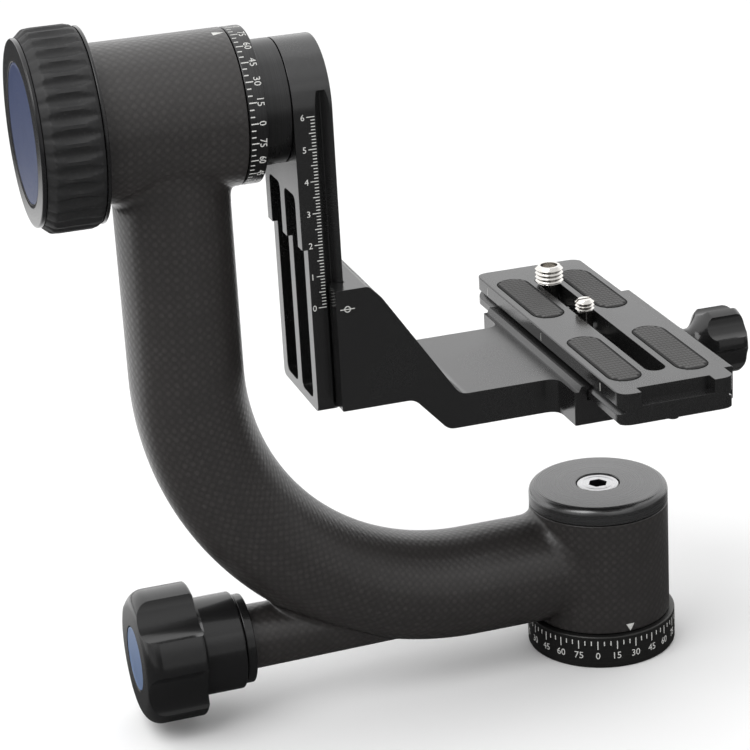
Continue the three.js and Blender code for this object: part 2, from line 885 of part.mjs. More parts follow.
function addPanLock() {
  const centre = [0, panLock.height];
  const flangeLeft = panLock.tubeEnd - panLock.flangeWidth;
  const bush = turned(
    [
      [panLock.rodRadius + fit.run, flangeLeft],
      [panLock.flangeRadius - fit.edge, flangeLeft],
      [panLock.flangeRadius, flangeLeft + fit.edge],
      [panLock.flangeRadius, panLock.tubeEnd - fit.seat],
      [panLock.bushRadius, panLock.tubeEnd - fit.seat],
      [panLock.bushRadius, panLock.tubeEnd + panLock.bushLength],
      [panLock.rodRadius + fit.run, panLock.tubeEnd + panLock.bushLength],
    ],
    "x",
    facets.medium,
    centre,
  );
  add("pan_lock_bush", bush, "anodised");

  const shoeTail = shoeTip - panLock.shoeLength;
  const socketEnd = shoeTip - panLock.shoeCrown;
  const shoe = turned(
    [
      [0, socketEnd],
      [panLock.rodRadius + fit.seat, socketEnd],
      [panLock.rodRadius + fit.seat, shoeTail],
      [panLock.shoeRadius, shoeTail],
      [panLock.shoeRadius, shoeTip],
      [0, shoeTip],
    ],
    "x",
    facets.small,
    centre,
  );
  add("pan_brake_shoe", shoe, "brass");

  const skirtRight = flangeLeft - fit.run;
  const skirtLeft = skirtRight - panLock.skirtLength;
  const headLeft = skirtLeft - panLock.headLength;
  const domeStart = headLeft + panLock.headDome;
  const discSink = headLeft + panLock.discThickness;
  const profile = [[0, headLeft]];
  const front = panLock.headRadius - panLock.headDome;
  for (const share of domeShares.front) {
    const angle = share * quarterTurn;
    const bulge = panLock.headDome * Math.sin(angle);
    profile.push([front + bulge, domeStart - panLock.headDome * Math.cos(angle)]);
  }
  profile.push(
    [panLock.headRadius, skirtLeft - fit.edge],
    [panLock.headRadius - fit.edge, skirtLeft],
    [panLock.skirtRadius - fit.edge, skirtLeft],
    [panLock.skirtRadius - fit.edge, skirtLeft + fit.edge],
    [panLock.skirtRadius, skirtLeft + fit.edge],
    [panLock.skirtRadius, skirtRight - fit.edge],
    [panLock.skirtRadius - fit.edge, skirtRight],
    [0, skirtRight],
  );
  const tools = scallops(panLock, headLeft - fit.overrun, skirtLeft, centre);
  const discPocket = panLock.discRadius + fit.seat;
  tools.push(bar(discPocket, headLeft - fit.overrun, discSink, "x", facets.medium, centre));
  const rodBore = panLock.rodRadius + fit.seat;
  const rodEnd = skirtLeft - panLock.rodSink;
  tools.push(bar(rodBore, rodEnd, skirtRight + fit.overrun, "x", facets.small, centre));
  const knob = cut(turned(profile, "x", facets.large, centre), ...tools);
  add("pan_knob", knob, "knob");
  const discRight = discSink - fit.seat;
  const discLeft = headLeft + panLock.discRecess;
  add("pan_knob_disc", bar(panLock.discRadius, discLeft, discRight, "x", facets.medium, centre), "sky");
  const rodLeft = rodEnd + panLock.travel + fit.seat;
  const rod = bar(panLock.rodRadius, rodLeft, socketEnd - fit.seat, "x", facets.small, centre);
  add("pan_lock_rod", rod, "steel");
}

// Tilt lock: knob, screw and brake pad, which travel together as the knob turns

function addTiltLock() {
  const centre = [0, tilt.height];
  const plateLeft = tilt.housingLeft + fit.seat;
  const screwBore = tiltKnob.screwRadius + fit.run;
  const endPlate = tube(screwBore, raceOuter, plateLeft, endPlateRight, "x", facets.medium, centre);
  add("tilt_end_plate", endPlate, "steel");

  add("tilt_brake_pad", bar(raceOuter, padLeft, padRight, "x", facets.medium, centre), "brass");

  const gripRight = tilt.housingLeft - fit.seat;
  const gripLeft = gripRight - tiltKnob.gripLength;
  const flangeLeft = gripRight - tiltKnob.flangeWidth;
  const gripBore = tiltKnob.gripRadius - tiltKnob.gripWall;
  const coreRadius = gripBore - fit.seat;
  const capRight = gripLeft + tiltKnob.capSink;
  const coreLeft = capRight + fit.seat;
  const screwLeft = (coreLeft + gripRight) / 2;
  const core = turned(
    [
      [0, coreLeft],
      [coreRadius, coreLeft],
      [coreRadius, flangeLeft],
      [tiltKnob.flangeRadius, flangeLeft],
      [tiltKnob.flangeRadius, gripRight],
      [tiltKnob.screwRadius + fit.seat, gripRight],
      [tiltKnob.screwRadius + fit.seat, screwLeft],
      [0, screwLeft],
    ],
    "x",
    facets.large,
    centre,
  );
  add("tilt_knob_core", core, "knob");
  add("tilt_knob_grip", grip(gripLeft, flangeLeft - fit.seat, gripBore, centre), "rubber");

  const capLeft = capRight - tiltKnob.capLength;
  const discPocket = capLeft + tiltKnob.discThickness + fit.seat;
  const cap = turned(
    [
      [0, discPocket],
      [tiltKnob.discRadius + fit.seat, discPocket],
      [tiltKnob.discRadius + fit.seat, capLeft],
      [tiltKnob.capRadius - tiltKnob.capEdge, capLeft],
      [tiltKnob.capRadius, capLeft + tiltKnob.capEdge],
      [tiltKnob.capRadius, gripLeft - fit.seat],
      [coreRadius, gripLeft - fit.seat],
      [coreRadius, capRight],
      [0, capRight],
    ],
    "x",
    facets.large,
    centre,
  );
  add("tilt_knob_cap", cap, "gloss");
  const discLeft = capLeft + tiltKnob.discRecess;
  const disc = bar(tiltKnob.discRadius, discLeft, discPocket - fit.seat, "x", facets.medium, centre);
  add("tilt_knob_disc", disc, "navy");
  const screwEnd = screwLeft + tiltKnob.travel + fit.seat;
  const screw = bar(tiltKnob.screwRadius, screwEnd, padLeft - fit.seat, "x", facets.small, centre);
  add("tilt_lock_screw", screw, "steel");
}

/** The rubber sleeve: rings of points whose radius dips in each lengthwise groove. */
function grip(from, to, bore, centre) {
  const rows = [
    { share: 0, loss: tiltKnob.shoulder, dip: 0 },
    { share: gripShares.run, loss: 0, dip: tiltKnob.grooveRun },
    { share: gripShares.middle, loss: 0, dip: tiltKnob.grooveDepth },
    { share: 1, loss: tiltKnob.rearShoulder, dip: 0 },
  ];
  const pointsPerGroove = 3;
  const around = tiltKnob.gripGrooves * pointsPerGroove;
  const rings = rows.map(({ share, loss, dip }) => {
    const x = from + share * (to - from);
    const ring = [];
    for (let i = 0; i < around; i++) {
      const radius = tiltKnob.gripRadius - loss - (i % pointsPerGroove === 1 ? dip : 0);
      const angle = (i * fullTurn) / around;
      ring.push(axis(x, centre[0] + radius * Math.cos(angle), centre[1] + radius * Math.sin(angle)));
    }
    return ring;
  });
  return cut(lofted(rings), bar(bore, from - fit.overrun, to + fit.overrun, "x", facets.large, centre));
}

// The lens bracket and what clamps it to the upright plate

const platformFoot = bracket.platformTop - bracket.platformThickness;
const clampBaseRight = clamp.flangeHalfWidth + clamp.baseClearance;
const plateFoot = plate.top - plate.thickness;
const channelFloor = plateFoot - fit.run;
const jawInner = clamp.flangeHalfWidth + fit.run;
const screwHeight = (platformFoot + channelFloor) / 2;
const gibFoot = bracket.lowScrew - bracket.gibMargin;
const gibTop = bracket.highScrew + bracket.gibMargin;
const slopeShare = (z) => (bracket.slopeTop - z) / (bracket.slopeTop - bracket.platformTop);
const slopeX = (z) => bracket.slopeTopX + slopeShare(z) * (bracket.slopeFootX - bracket.slopeTopX);

function bracketBody() {
  const profile = rounded([
    [bracket.left, bracket.legFoot, fit.edge],
    [bracket.underStart, bracket.legFoot, bracket.bend],
    [bracket.underEnd, platformFoot, bracket.bend],
    [clampBaseRight, platformFoot, 0],
    [clampBaseRight, bracket.platformTop, 0],
    [bracket.slopeFootX, bracket.platformTop, bracket.bend],
    [bracket.slopeTopX, bracket.slopeTop, bracket.crestBend],
    [bracket.slopeTopX - bracket.crestRun, bracket.legTop, bracket.crestBend],
    [bracket.left, bracket.legTop, fit.edge],
  ]);
  const wing = bracket.wingHalfWidth;
  const plan = rounded([
    [bracket.left - fit.overrun, -bracket.halfWidth, 0],
    [bracket.wingX, -bracket.halfWidth, bracket.wingCorner],
    [bracket.wingX, -wing, fit.edge],
    [clampBaseRight + fit.overrun, -wing, 0],
    [clampBaseRight + fit.overrun, wing, 0],
    [bracket.wingX, wing, fit.edge],
    [bracket.wingX, bracket.halfWidth, bracket.wingCorner],
    [bracket.left - fit.overrun, bracket.halfWidth, 0],
  ]);
  const long = extruded(profile, -wing, wing, "y");
  return long.intersect(extruded(plan, platformFoot - fit.overrun, bracket.legTop + fit.overrun, "z"));
}

/** The jaw lip that stands over the lower flange of the sliding plate, on the left or the right side. */
function jawLip(side) {
  const flangeTop = plateFoot + plate.lowerFlange;
  const tip = clamp.flangeHalfWidth - plate.notchDepth + fit.run;
  const lipTop = bracket.platformTop + clamp.lipRise;
  const tipZ = (flangeTop + plate.top - plate.upperFlange) / 2;
  const shape = new THREE.Shape();
  shape.moveTo(side * (jawInner + clamp.lipWidth), bracket.platformTop - fit.overrun);
  shape.lineTo(side * (jawInner + clamp.lipWidth), bracket.platformTop);
  shape.lineTo(side * (jawInner + clamp.lipWidth - clamp.lipSlope), lipTop);
  shape.lineTo(side * (tip + fit.edge), lipTop);
  shape.lineTo(side * tip, tipZ);
  shape.lineTo(side * jawInner, flangeTop);
  shape.lineTo(side * jawInner, bracket.platformTop - fit.overrun);
  return extruded(shape, -bracket.wingHalfWidth, bracket.wingHalfWidth, "y");
}

function addBracket() {
  const wing = bracket.wingHalfWidth;
  const half = swing.halfWidth;
  const channelFloorX = swing.right + fit.run;
  const lowLeft = swing.left + swing.stepDepth;
  const grooveLeft = lowLeft + swing.grooveStart;
  const grooveRight = swing.right - swing.lip;
  const grooveMiddle = (grooveLeft + grooveRight) / 2;
  const tipY = half - swing.grooveDepth + fit.run;
  const channel = new THREE.Shape();
  const edge = (side) => [
    [bracket.left - fit.overrun, side * (half + fit.seat)],
    [bracket.left, side * (half + fit.seat)],
    [grooveMiddle, side * tipY],
    [grooveRight, side * (half + fit.run)],
    [channelFloorX, side * (half + fit.run)],
  ];
  const corners = [...edge(-1), ...edge(1).reverse()];
  corners.forEach(([x, y], i) => (i === 0 ? channel.moveTo(x, y) : channel.lineTo(x, y)));
  const gibPocketRight = channelFloorX + bracket.gibThickness + fit.seat;
  const gibHalf = bracket.gibHalfWidth + fit.seat;
  const gibPocket = block([-gibHalf, gibFoot - fit.seat], [gibHalf, gibTop + fit.seat]);
  const tools = [
    extruded(channel, bracket.legFoot - fit.overrun, bracket.legTop + fit.overrun, "z"),
    extruded(gibPocket, channelFloorX - fit.overrun, gibPocketRight, "x"),
    extruded(
      block([-jawInner, channelFloor], [clampBaseRight + fit.overrun, bracket.platformTop + fit.overrun]),
      -wing - fit.overrun,
      wing + fit.overrun,
      "y",
    ),
  ];
  for (const height of [bracket.lowScrew, bracket.highScrew]) {
    const at = [0, height];
    const headLeft = slopeX(height) - bracket.screwSink - bracket.screwHeadHeight - fit.seat;
    const bore = bracket.screwRadius + fit.seat;
    tools.push(bar(bore, gibPocketRight - fit.overrun, headLeft + fit.overrun, "x", facets.tiny, at));
    const headBore = bracket.screwHeadRadius + fit.seat;
    tools.push(bar(headBore, headLeft, bracket.slopeFootX, "x", facets.small, at));
  }
  for (const side of [-1, 1]) {
    const at = [side * clamp.pinSpread, screwHeight];
    const pinEnd = clampBaseRight - clamp.pinDepth - fit.seat;
    const springEnd = clampBaseRight - clamp.springPocket;
    tools.push(bar(clamp.pinRadius + fit.seat, pinEnd, clampBaseRight + fit.overrun, "x", facets.tiny, at));
    const pocket = clamp.springRadius + fit.run;
    tools.push(bar(pocket, springEnd, clampBaseRight + fit.overrun, "x", facets.small, at));
  }
  const screwEnd = clampBaseRight - clamp.screwDepth - fit.overrun;
  const screwBore = clamp.screwRadius + fit.seat;
  tools.push(bar(screwBore, screwEnd, clampBaseRight + fit.overrun, "x", facets.small, [0, screwHeight]));
  add("lens_bracket", join(cut(bracketBody(), ...tools), jawLip(-1)), "anodised");

  const gib = extruded(
    block([-bracket.gibHalfWidth, gibFoot], [bracket.gibHalfWidth, gibTop], fit.edge),
    channelFloorX,
    channelFloorX + bracket.gibThickness,
    "x",
  );
  add("height_gib", gib, "brass");
  [bracket.lowScrew, bracket.highScrew].forEach((height, i) => {
    const headRight = slopeX(height) - bracket.screwSink;
    const headLeft = headRight - bracket.screwHeadHeight;
    const tip = channelFloorX + bracket.gibThickness + fit.seat;
    const at = [0, height];
    const screw = turned(
      [
        [0, tip],
        [bracket.screwRadius, tip],
        [bracket.screwRadius, headLeft],
        [bracket.screwHeadRadius, headLeft],
        [bracket.screwHeadRadius, headRight],
        [0, headRight],
      ],
      "x",
      facets.small,
      at,
    );
    const socketFoot = headRight - bracket.screwHexDepth;
    const socket = hexagon(bracket.screwHexAcross, socketFoot, headRight + fit.overrun, "x", at);
    add(`height_screw_${i + 1}`, cut(screw, socket), "steel");
  });
}

// The quick-release clamp: moving jaw, guide pins, springs, screw and knob

/** A compression spring along X: square rings of wire carried round a helix. */
function spring(from, to, centre) {
  const wire = clamp.springWire / 2;
  const sides = 4;
  const steps = clamp.springTurns * facets.tiny;
  const reach = clamp.springRadius - wire;
  const rings = [];
  for (let step = 0; step <= steps; step++) {
    const turn = (step / steps) * clamp.springTurns * fullTurn;
    const x = from + wire + (step / steps) * (to - from - clamp.springWire);
    const ring = [];
    for (let i = 0; i < sides; i++) {
      const angle = (i * fullTurn) / sides;
      const radius = reach + wire * Math.cos(angle);
      const [y, z] = [radius * Math.cos(turn), radius * Math.sin(turn)];
      ring.push(axis(x + wire * Math.sin(angle), centre[0] + y, centre[1] + z));
    }
    rings.push(ring);
  }
  return lofted(rings);
}

function addClamp() {
  const wing = bracket.wingHalfWidth;
  const jawLeft = clampBaseRight + fit.seat;
  const body = extruded(
    rounded([
      [jawInner, platformFoot, 0],
      [clamp.jawOuter, platformFoot, fit.edge],
      [clamp.jawOuter, bracket.platformTop, fit.edge],
      [jawInner, bracket.platformTop, 0],
    ]),
    -wing,
    wing,
    "y",
  );
  const tools = [];
  const springEnd = jawLeft + clamp.jawSpringPocket;
  for (const side of [-1, 1]) {
    const at = [side * clamp.pinSpread, screwHeight];
    const pinEnd = clamp.jawOuter - clamp.pinWall;
    tools.push(bar(clamp.pinRadius + fit.run, jawLeft - fit.overrun, pinEnd, "x", facets.tiny, at));
    const pocket = clamp.springRadius + fit.run;
    tools.push(bar(pocket, jawLeft - fit.overrun, springEnd, "x", facets.small, at));
  }
  const centre = [0, screwHeight];
  const screwBore = clamp.screwRadius + fit.run;
  const jawRight = clamp.jawOuter + fit.overrun;
  tools.push(bar(screwBore, jawLeft - fit.overrun, jawRight, "x", facets.small, centre));
  add("moving_jaw", join(cut(body, ...tools), jawLip(1)), "anodised");

  const pinLeft = clampBaseRight - clamp.pinDepth;
  const pinRight = clamp.jawOuter - clamp.opening - clamp.pinWall;
  const springLeft = clampBaseRight - clamp.springPocket + fit.seat;
  [-1, 1].forEach((side, i) => {
    const at = [side * clamp.pinSpread, screwHeight];
    add(`jaw_guide_pin_${i + 1}`, bar(clamp.pinRadius, pinLeft, pinRight, "x", facets.tiny, at), "steel");
    add(`jaw_spring_${i + 1}`, spring(springLeft, springEnd - fit.seat, at), "steel");
  });

  const washerLeft = clamp.jawOuter + fit.seat;
  const washerRight = washerLeft + clamp.washerThickness;
  const washer = tube(screwBore, clamp.washerRadius, washerLeft, washerRight, "x", facets.small, centre);
  add("clamp_washer", washer, "steel");
  const neckLeft = washerRight + fit.seat;
  const headLeft = neckLeft + clamp.neckLength;
  const headRight = headLeft + clamp.headLength;
  const profile = [
    [0, neckLeft],
    [clamp.neckRadius, neckLeft],
    [clamp.neckRadius + fit.edge, neckLeft + clamp.neckStraight],
    [clamp.headRadius - clamp.headDome, headLeft - fit.edge],
    [clamp.headRadius, headLeft + clamp.headDome],
  ];
  const domeCentre = headRight - clamp.headDome;
  for (const share of domeShares.back) {
    const angle = share * quarterTurn;
    const radius = clamp.headRadius - clamp.headDome + clamp.headDome * Math.cos(angle);
    profile.push([radius, domeCentre + clamp.headDome * Math.sin(angle)]);
  }
  profile.push([0, headRight]);
  const knobTools = scallops(clamp, headLeft - fit.edge, headRight + fit.overrun, centre);
  const screwRight = headLeft + clamp.threadSink;
  const threadBore = clamp.screwRadius + fit.seat;
  knobTools.push(bar(threadBore, neckLeft - fit.overrun, screwRight, "x", facets.small, centre));
  add("clamp_knob", cut(turned(profile, "x", facets.medium, centre), ...knobTools), "knob");
  const screwLeft = clampBaseRight - clamp.screwDepth;
  const screw = bar(clamp.screwRadius, screwLeft, screwRight - fit.seat, "x", facets.small, centre);
  add("clamp_screw", screw, "steel");
}

// The sliding plate, its rubber pads, stop screws and camera screws

const plateNear = plate.centreY - plate.length / 2;
const plateFar = plate.centreY + plate.length / 2;

function addPlate() {
  const near = plateNear;
  const far = plateFar;
  const slotNear = near + plate.slotNearInset;
  const slotFar = far - plate.slotFarInset;
  const half = clamp.flangeHalfWidth;
  const notchFoot = plateFoot + plate.lowerFlange;
  const notchTop = plate.top - plate.upperFlange;
  const notchMiddle = (notchFoot + notchTop) / 2;
  const section = new THREE.Shape();
  const edge = (side) => [
    [side * (half - fit.edge), plateFoot],
    [side * half, plateFoot + fit.edge],
    [side * half, notchFoot],
    [side * (half - plate.notchDepth), notchMiddle],
    [side * half, notchTop],
    [side * half, plate.top - plate.topEdge],
    [side * (half - plate.topEdge), plate.top],
  ];
  const corners = [...edge(1), ...edge(-1).reverse()];
  corners.forEach(([x, z], i) => (i === 0 ? section.moveTo(x, z) : section.lineTo(x, z)));
  const outline = block([-half, near], [half, far], plate.cornerRadius);
  const body = extruded(section, near, far, "y").intersect(
    extruded(outline, plateFoot - fit.overrun, plate.top + fit.overrun, "z"),
  );
  const above = plate.top + fit.overrun;
  const below = plateFoot - fit.overrun;
  const counterTop = plateFoot + plate.counterDepth;
  const reach = plate.counterHalfWidth - plate.slotHalfWidth;
  const counter = slotted(0, slotNear - reach, slotFar + reach, plate.counterHalfWidth);
  const tools = [
    extruded(slotted(0, slotNear, slotFar, plate.slotHalfWidth), below, above, "z"),
    extruded(counter, below, counterTop, "z"),
    extruded(
      block([-plate.recessWidth / 2, near - fit.overrun], [plate.recessWidth / 2, near + plate.recessDepth]),
      notchTop,
      above,
      "z",
    ),
  ];
  const pads = [];
  for (const across of [-1, 1]) {
    for (const along of [-1, 1]) {
      const inner = plate.centreY + along * plate.padInner;
      const outer = inner + along * plate.padLength;
      const [from, to] = [Math.min(inner, outer), Math.max(inner, outer)];
      const x = across * plate.padOffset;
      pads.push([x, from, to]);
      const pocket = slotted(x, from - fit.seat, to + fit.seat, plate.padHalfWidth + fit.seat);
      tools.push(extruded(pocket, plate.top - plate.padSink - fit.seat, above, "z"));
    }
  }
  const stops = [near + plate.stopInset, far - plate.stopInset];
  for (const y of stops) {
    const bore = plate.stopShankRadius + fit.seat;
    tools.push(bar(bore, below, plateFoot + plate.stopShank + fit.seat, "z", facets.tiny, [0, y]));
  }
  add("sliding_plate", cut(body, ...tools), "anodised");
  pads.forEach(([x, from, to], i) => {
    const pad = slotted(x, from, to, plate.padHalfWidth);
    const foot = plate.top - plate.padSink;
    add(`rubber_pad_${i + 1}`, extruded(pad, foot, plate.top + plate.padRise, "z", facets.slotEnd), "rubber");
  });
  stops.forEach((y, i) => {
    const headTop = plateFoot - fit.seat;
    const stop = turned(
      [
        [0, headTop - plate.stopHeadHeight],
        [plate.stopRadius, headTop - plate.stopHeadHeight],
        [plate.stopRadius, headTop],
        [plate.stopShankRadius, headTop],
        [plate.stopShankRadius, plateFoot + plate.stopShank],
        [0, plateFoot + plate.stopShank],
      ],
      "z",
      facets.tiny,
      [0, y],
    );
    add(`plate_stop_screw_${i + 1}`, stop, "steel");
  });
}

/** A camera screw in the plate's slot, held up by its washer. */
function addCameraScrew(name, size, socketed) {
  const y = plateFar - size.farInset;
  const at = [0, y];
  const counterTop = plateFoot + plate.counterDepth;
  const washerTop = counterTop - fit.seat;
  const washerFoot = washerTop - cameraScrew.washerThickness;
  const headTop = washerFoot - fit.seat;
  const headFoot = headTop - cameraScrew.headHeight;
  const tip = plate.top + size.rise;
  const threadFoot = plate.top + cameraScrew.neckAbove;
  const profile = [
    [0, headFoot],
    [cameraScrew.headRadius, headFoot],
    [cameraScrew.headRadius, headTop],
    [size.neckRadius, headTop],
    [size.neckRadius, threadFoot],
  ];
  const ridges = Math.floor((tip - threadFoot) / cameraScrew.threadPitch);
  const pitch = (tip - threadFoot) / ridges;
  const root = size.threadRadius - cameraScrew.threadDepth;
  for (let i = 0; i < ridges; i++) {
    const crest = threadFoot + (i + cameraScrew.crestShare) * pitch;
    profile.push([root, threadFoot + i * pitch], [size.threadRadius, crest]);
  }
  profile.push([root, tip], [0, tip]);
  const tools = [];
  if (socketed) {
    const socketFoot = tip - cameraScrew.socketDepth;
    tools.push(bar(size.socketRadius, socketFoot, tip + fit.overrun, "z", facets.small, at));
  } else {
    const half = size.slotWidth / 2;
    const reach = size.threadRadius + fit.overrun;
    const groove = block([-reach, y - half], [reach, y + half]);
    tools.push(extruded(groove, tip - cameraScrew.slotDepth, tip + fit.overrun, "z"));
  }
  add(name, cut(turned(profile, "z", facets.small, at), ...tools), "nickel");
  const bore = size.neckRadius + fit.run;
  const washer = tube(bore, cameraScrew.headRadius, washerFoot, washerTop, "z", facets.small, at);
  add(`${name}_washer`, washer, "steel");
}

addPanBase();
addSpindle();
addCentreScrew();
addBearing("pan_lower", lowerBearingFoot, "z", [0, 0]);
addBearing("pan_upper", upperBearingFoot, "z", [0, 0]);
addArm();
addPanLiner();
addBaseCap();
addTiltLiner();
addBearing("tilt_left", leftBearingStart, "x", [0, tilt.height]);
addBearing("tilt_right", rightBearingStart, "x", [0, tilt.height]);
addAxle();
addSwingPlate();
addPanLock();
addTiltLock();
addBracket();
addClamp();
addPlate();
addCameraScrew("camera_screw_large", bigScrew, true);
addCameraScrew("camera_screw_small", smallScrew, false);

export default head;
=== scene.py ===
"""The looks of a gimbal tripod head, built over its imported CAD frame.

Sizes are in millimetres in the classes, and become metres where a mesh is made. The frame is +Z up
with X along the tilt axis, and its origin is the centre of the base underside. A profile is a line
of corners, each with its radius, its place along the axis and its rounding.
"""

from __future__ import annotations

import json
import logging
import math
from collections.abc import Callable, Sequence
from dataclasses import dataclass
from enum import Enum

import bpy
from mathutils import Matrix, Vector

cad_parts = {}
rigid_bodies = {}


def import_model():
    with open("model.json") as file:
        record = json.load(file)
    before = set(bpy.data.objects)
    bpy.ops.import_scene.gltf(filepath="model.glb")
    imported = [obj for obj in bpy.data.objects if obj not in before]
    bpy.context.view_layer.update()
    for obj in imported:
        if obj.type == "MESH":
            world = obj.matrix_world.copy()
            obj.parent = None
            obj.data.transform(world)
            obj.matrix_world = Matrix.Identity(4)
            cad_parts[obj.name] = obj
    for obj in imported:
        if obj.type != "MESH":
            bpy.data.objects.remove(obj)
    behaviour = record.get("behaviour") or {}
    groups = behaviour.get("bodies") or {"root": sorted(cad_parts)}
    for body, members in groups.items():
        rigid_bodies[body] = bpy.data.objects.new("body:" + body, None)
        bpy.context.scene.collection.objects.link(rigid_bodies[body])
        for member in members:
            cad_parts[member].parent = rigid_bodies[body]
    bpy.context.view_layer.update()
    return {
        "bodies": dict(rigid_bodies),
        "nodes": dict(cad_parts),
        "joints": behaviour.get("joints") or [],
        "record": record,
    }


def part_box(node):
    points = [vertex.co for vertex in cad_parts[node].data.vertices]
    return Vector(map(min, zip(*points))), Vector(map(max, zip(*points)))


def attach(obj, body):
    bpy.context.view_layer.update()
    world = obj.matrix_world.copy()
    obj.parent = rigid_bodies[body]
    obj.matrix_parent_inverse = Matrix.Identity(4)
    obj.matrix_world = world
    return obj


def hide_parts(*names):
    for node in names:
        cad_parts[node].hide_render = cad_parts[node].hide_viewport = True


LOG = logging.getLogger("gimbal_head")

MM = 0.001
MERGE = 2e-6
BEYOND = 1.0
CRISP = 34.0
PAINT_ROOT = -0.03
STROKE_TOP = 0.035
FIGURE_TOP = 0.04
CLOTH_MAP = "Surface"
STRIP_SIDES = 120
STRIP_ROWS = 12
HALVINGS = 40

Point = tuple[float, float]
Triple = tuple[float, float, float]
Corner = Triple
Profile = tuple[Corner, ...]
Colour = Triple
Piece = bpy.types.Object
Node = bpy.types.Node
Socket = bpy.types.NodeSocket
Spot = Callable[[float, float, float], Vector]
Chart = Callable[[Vector, Vector], Point]
Move = Callable[[Vector], Vector]

ORIGIN: Point = (0.0, 0.0)
TILT_CENTRE: Point = (0.0, 201.6)
LOCK_CENTRE: Point = (0.0, 24.7)
CLAMP_CENTRE: Point = (0.0, 100.175)


class Way(Enum):
    """The axis that a form lies along, as which coordinates are its u, its v and its length."""

    X = (1, 2, 0)
    Y = (0, 2, 1)
    Z = (0, 1, 2)

    def place(self, u: float, v: float, along: float) -> Vector:
        """Place a drawing's point in space.

        Args:
            u: The first coordinate across the axis, in millimetres.
            v: The second coordinate across the axis.
            along: The place along the axis.

        Returns:
            The point in metres.
        """
        point = Vector()
        for index, length in zip(self.value, (u, v, along)):
            point[index] = length
        return point * MM

    def polar(self, point: Vector, centre: Point) -> tuple[float, float, float]:
        """Read a point round the axis.

        Args:
            point: A point in millimetres.
            centre: Where the axis stands, across it.

        Returns:
            The angle in radians, the radius, and the place along the axis.
        """
        u, v, along = (point[index] for index in self.value)
        u, v = u - centre[0], v - centre[1]
        return math.atan2(v, u), math.hypot(u, v), along

    def axis(self) -> Vector:
        """The axis as a unit vector."""
        return Vector([1.0 if index == self.value[2] else 0.0 for index in range(3)])


def around(centre: Point, radius: float, angle: float) -> Point:
    """The point at an angle on a circle."""
    return centre[0] + radius * math.cos(angle), centre[1] + radius * math.sin(angle)


def near(angle: float, other: float) -> float:
    """The same angle, counted so that it is within half a turn of the other."""
    return angle + math.tau * round((other - angle) / math.tau)


# The workbench: how a piece is made


def put_down() -> None:
    """Leave edit mode and select nothing."""
    active = bpy.context.view_layer.objects.active
    if active is not None and active.mode != "OBJECT":
        bpy.ops.object.mode_set(mode="OBJECT")
    bpy.ops.object.select_all(action="DESELECT")


def pick_up(piece: Piece) -> None:
    """Select one piece alone and make it active.

    Args:
        piece: The piece.
    """
    put_down()
    piece.select_set(True)
    bpy.context.view_layer.objects.active = piece


def open_mesh(piece: Piece) -> None:
    """Enter edit mode on a piece with all of its mesh selected.

    Args:
        piece: The piece.
    """
    pick_up(piece)
    bpy.ops.object.mode_set(mode="EDIT")
    bpy.context.tool_settings.mesh_select_mode = (True, False, False)
    bpy.ops.mesh.select_all(action="SELECT")


def close_mesh() -> None:
    """Merge doubles, turn the faces outwards and leave edit mode."""
    bpy.ops.mesh.select_all(action="SELECT")
    bpy.ops.mesh.remove_doubles(threshold=MERGE)
    bpy.ops.mesh.normals_make_consistent(inside=False)
    bpy.ops.object.mode_set(mode="OBJECT")


def extrude(step: Vector) -> None:
    """Extrude what is selected by a step in millimetres."""
    bpy.ops.mesh.extrude_region_move(TRANSFORM_OT_translate={"value": step * MM})


def scrap(piece: Piece) -> None:
    """Delete a piece and its mesh.

    Args:
        piece: The piece.
    """
    mesh = piece.data
    bpy.data.objects.remove(piece)
    bpy.data.meshes.remove(mesh)


def named(name: str) -> Piece:
    """Name the active piece and its mesh.

    Args:
        name: The name.

    Returns:
        The active piece.
    """
    piece = bpy.context.active_object
    piece.name = name
    piece.data.name = name
    return piece


def draw_wire(name: str, points: Sequence[Vector]) -> Piece:
    """Draw a line through points, from one vertex extruded again and again. Edit mode stays open.

    Args:
        name: The new piece's name.
        points: The points, in metres.

    Returns:
        The piece, whose mesh is open.
    """
    put_down()
    bpy.ops.mesh.primitive_plane_add(size=MM, location=(0.0, 0.0, 0.0))
    wire = named(name)
    open_mesh(wire)
    bpy.ops.mesh.merge(type="CENTER")
    bpy.ops.transform.translate(value=points[0])
    for here, there in zip(points, points[1:]):
        bpy.ops.mesh.extrude_region_move(TRANSFORM_OT_translate={"value": there - here})
    return wire


def eased(corners: Sequence[Corner], loop: bool = False, steps: int = 4) -> list[Point]:
    """Round the corners of a line with arcs.

    Args:
        corners: The corners as (u, v, radius); a radius of zero stays sharp.
        loop: True where the last corner joins the first.
        steps: The parts of each arc.

    Returns:
        The points of the rounded line.
    """
    count = len(corners)
    line: list[Point] = []
    for i, (u, v, radius) in enumerate(corners):
        here = Vector((u, v))
        before = Vector(corners[i - 1][:2]) - here
        after = Vector(corners[(i + 1) % count][:2]) - here
        half = before.angle(after, 0.0) / 2
        if radius <= 0.0 or (not loop and i in (0, count - 1)) or half > math.pi / 2 - 1e-3:
            line.append((u, v))
            continue
        back = min(radius / math.tan(half), 0.49 * before.length, 0.49 * after.length)
        reach = back * math.tan(half)
        middle = here + (before.normalized() + after.normalized()).normalized() * reach / math.sin(half)
        start = here + before.normalized() * back - middle
        finish = here + after.normalized() * back - middle
        turn = math.atan2(start.x * finish.y - start.y * finish.x, start.dot(finish))
        for k in range(steps + 1):
            cosine, sine = math.cos(turn * k / steps), math.sin(turn * k / steps)
            point = middle + Vector((start.x * cosine - start.y * sine, start.x * sine + start.y * cosine))
            line.append((point.x, point.y))
    return line


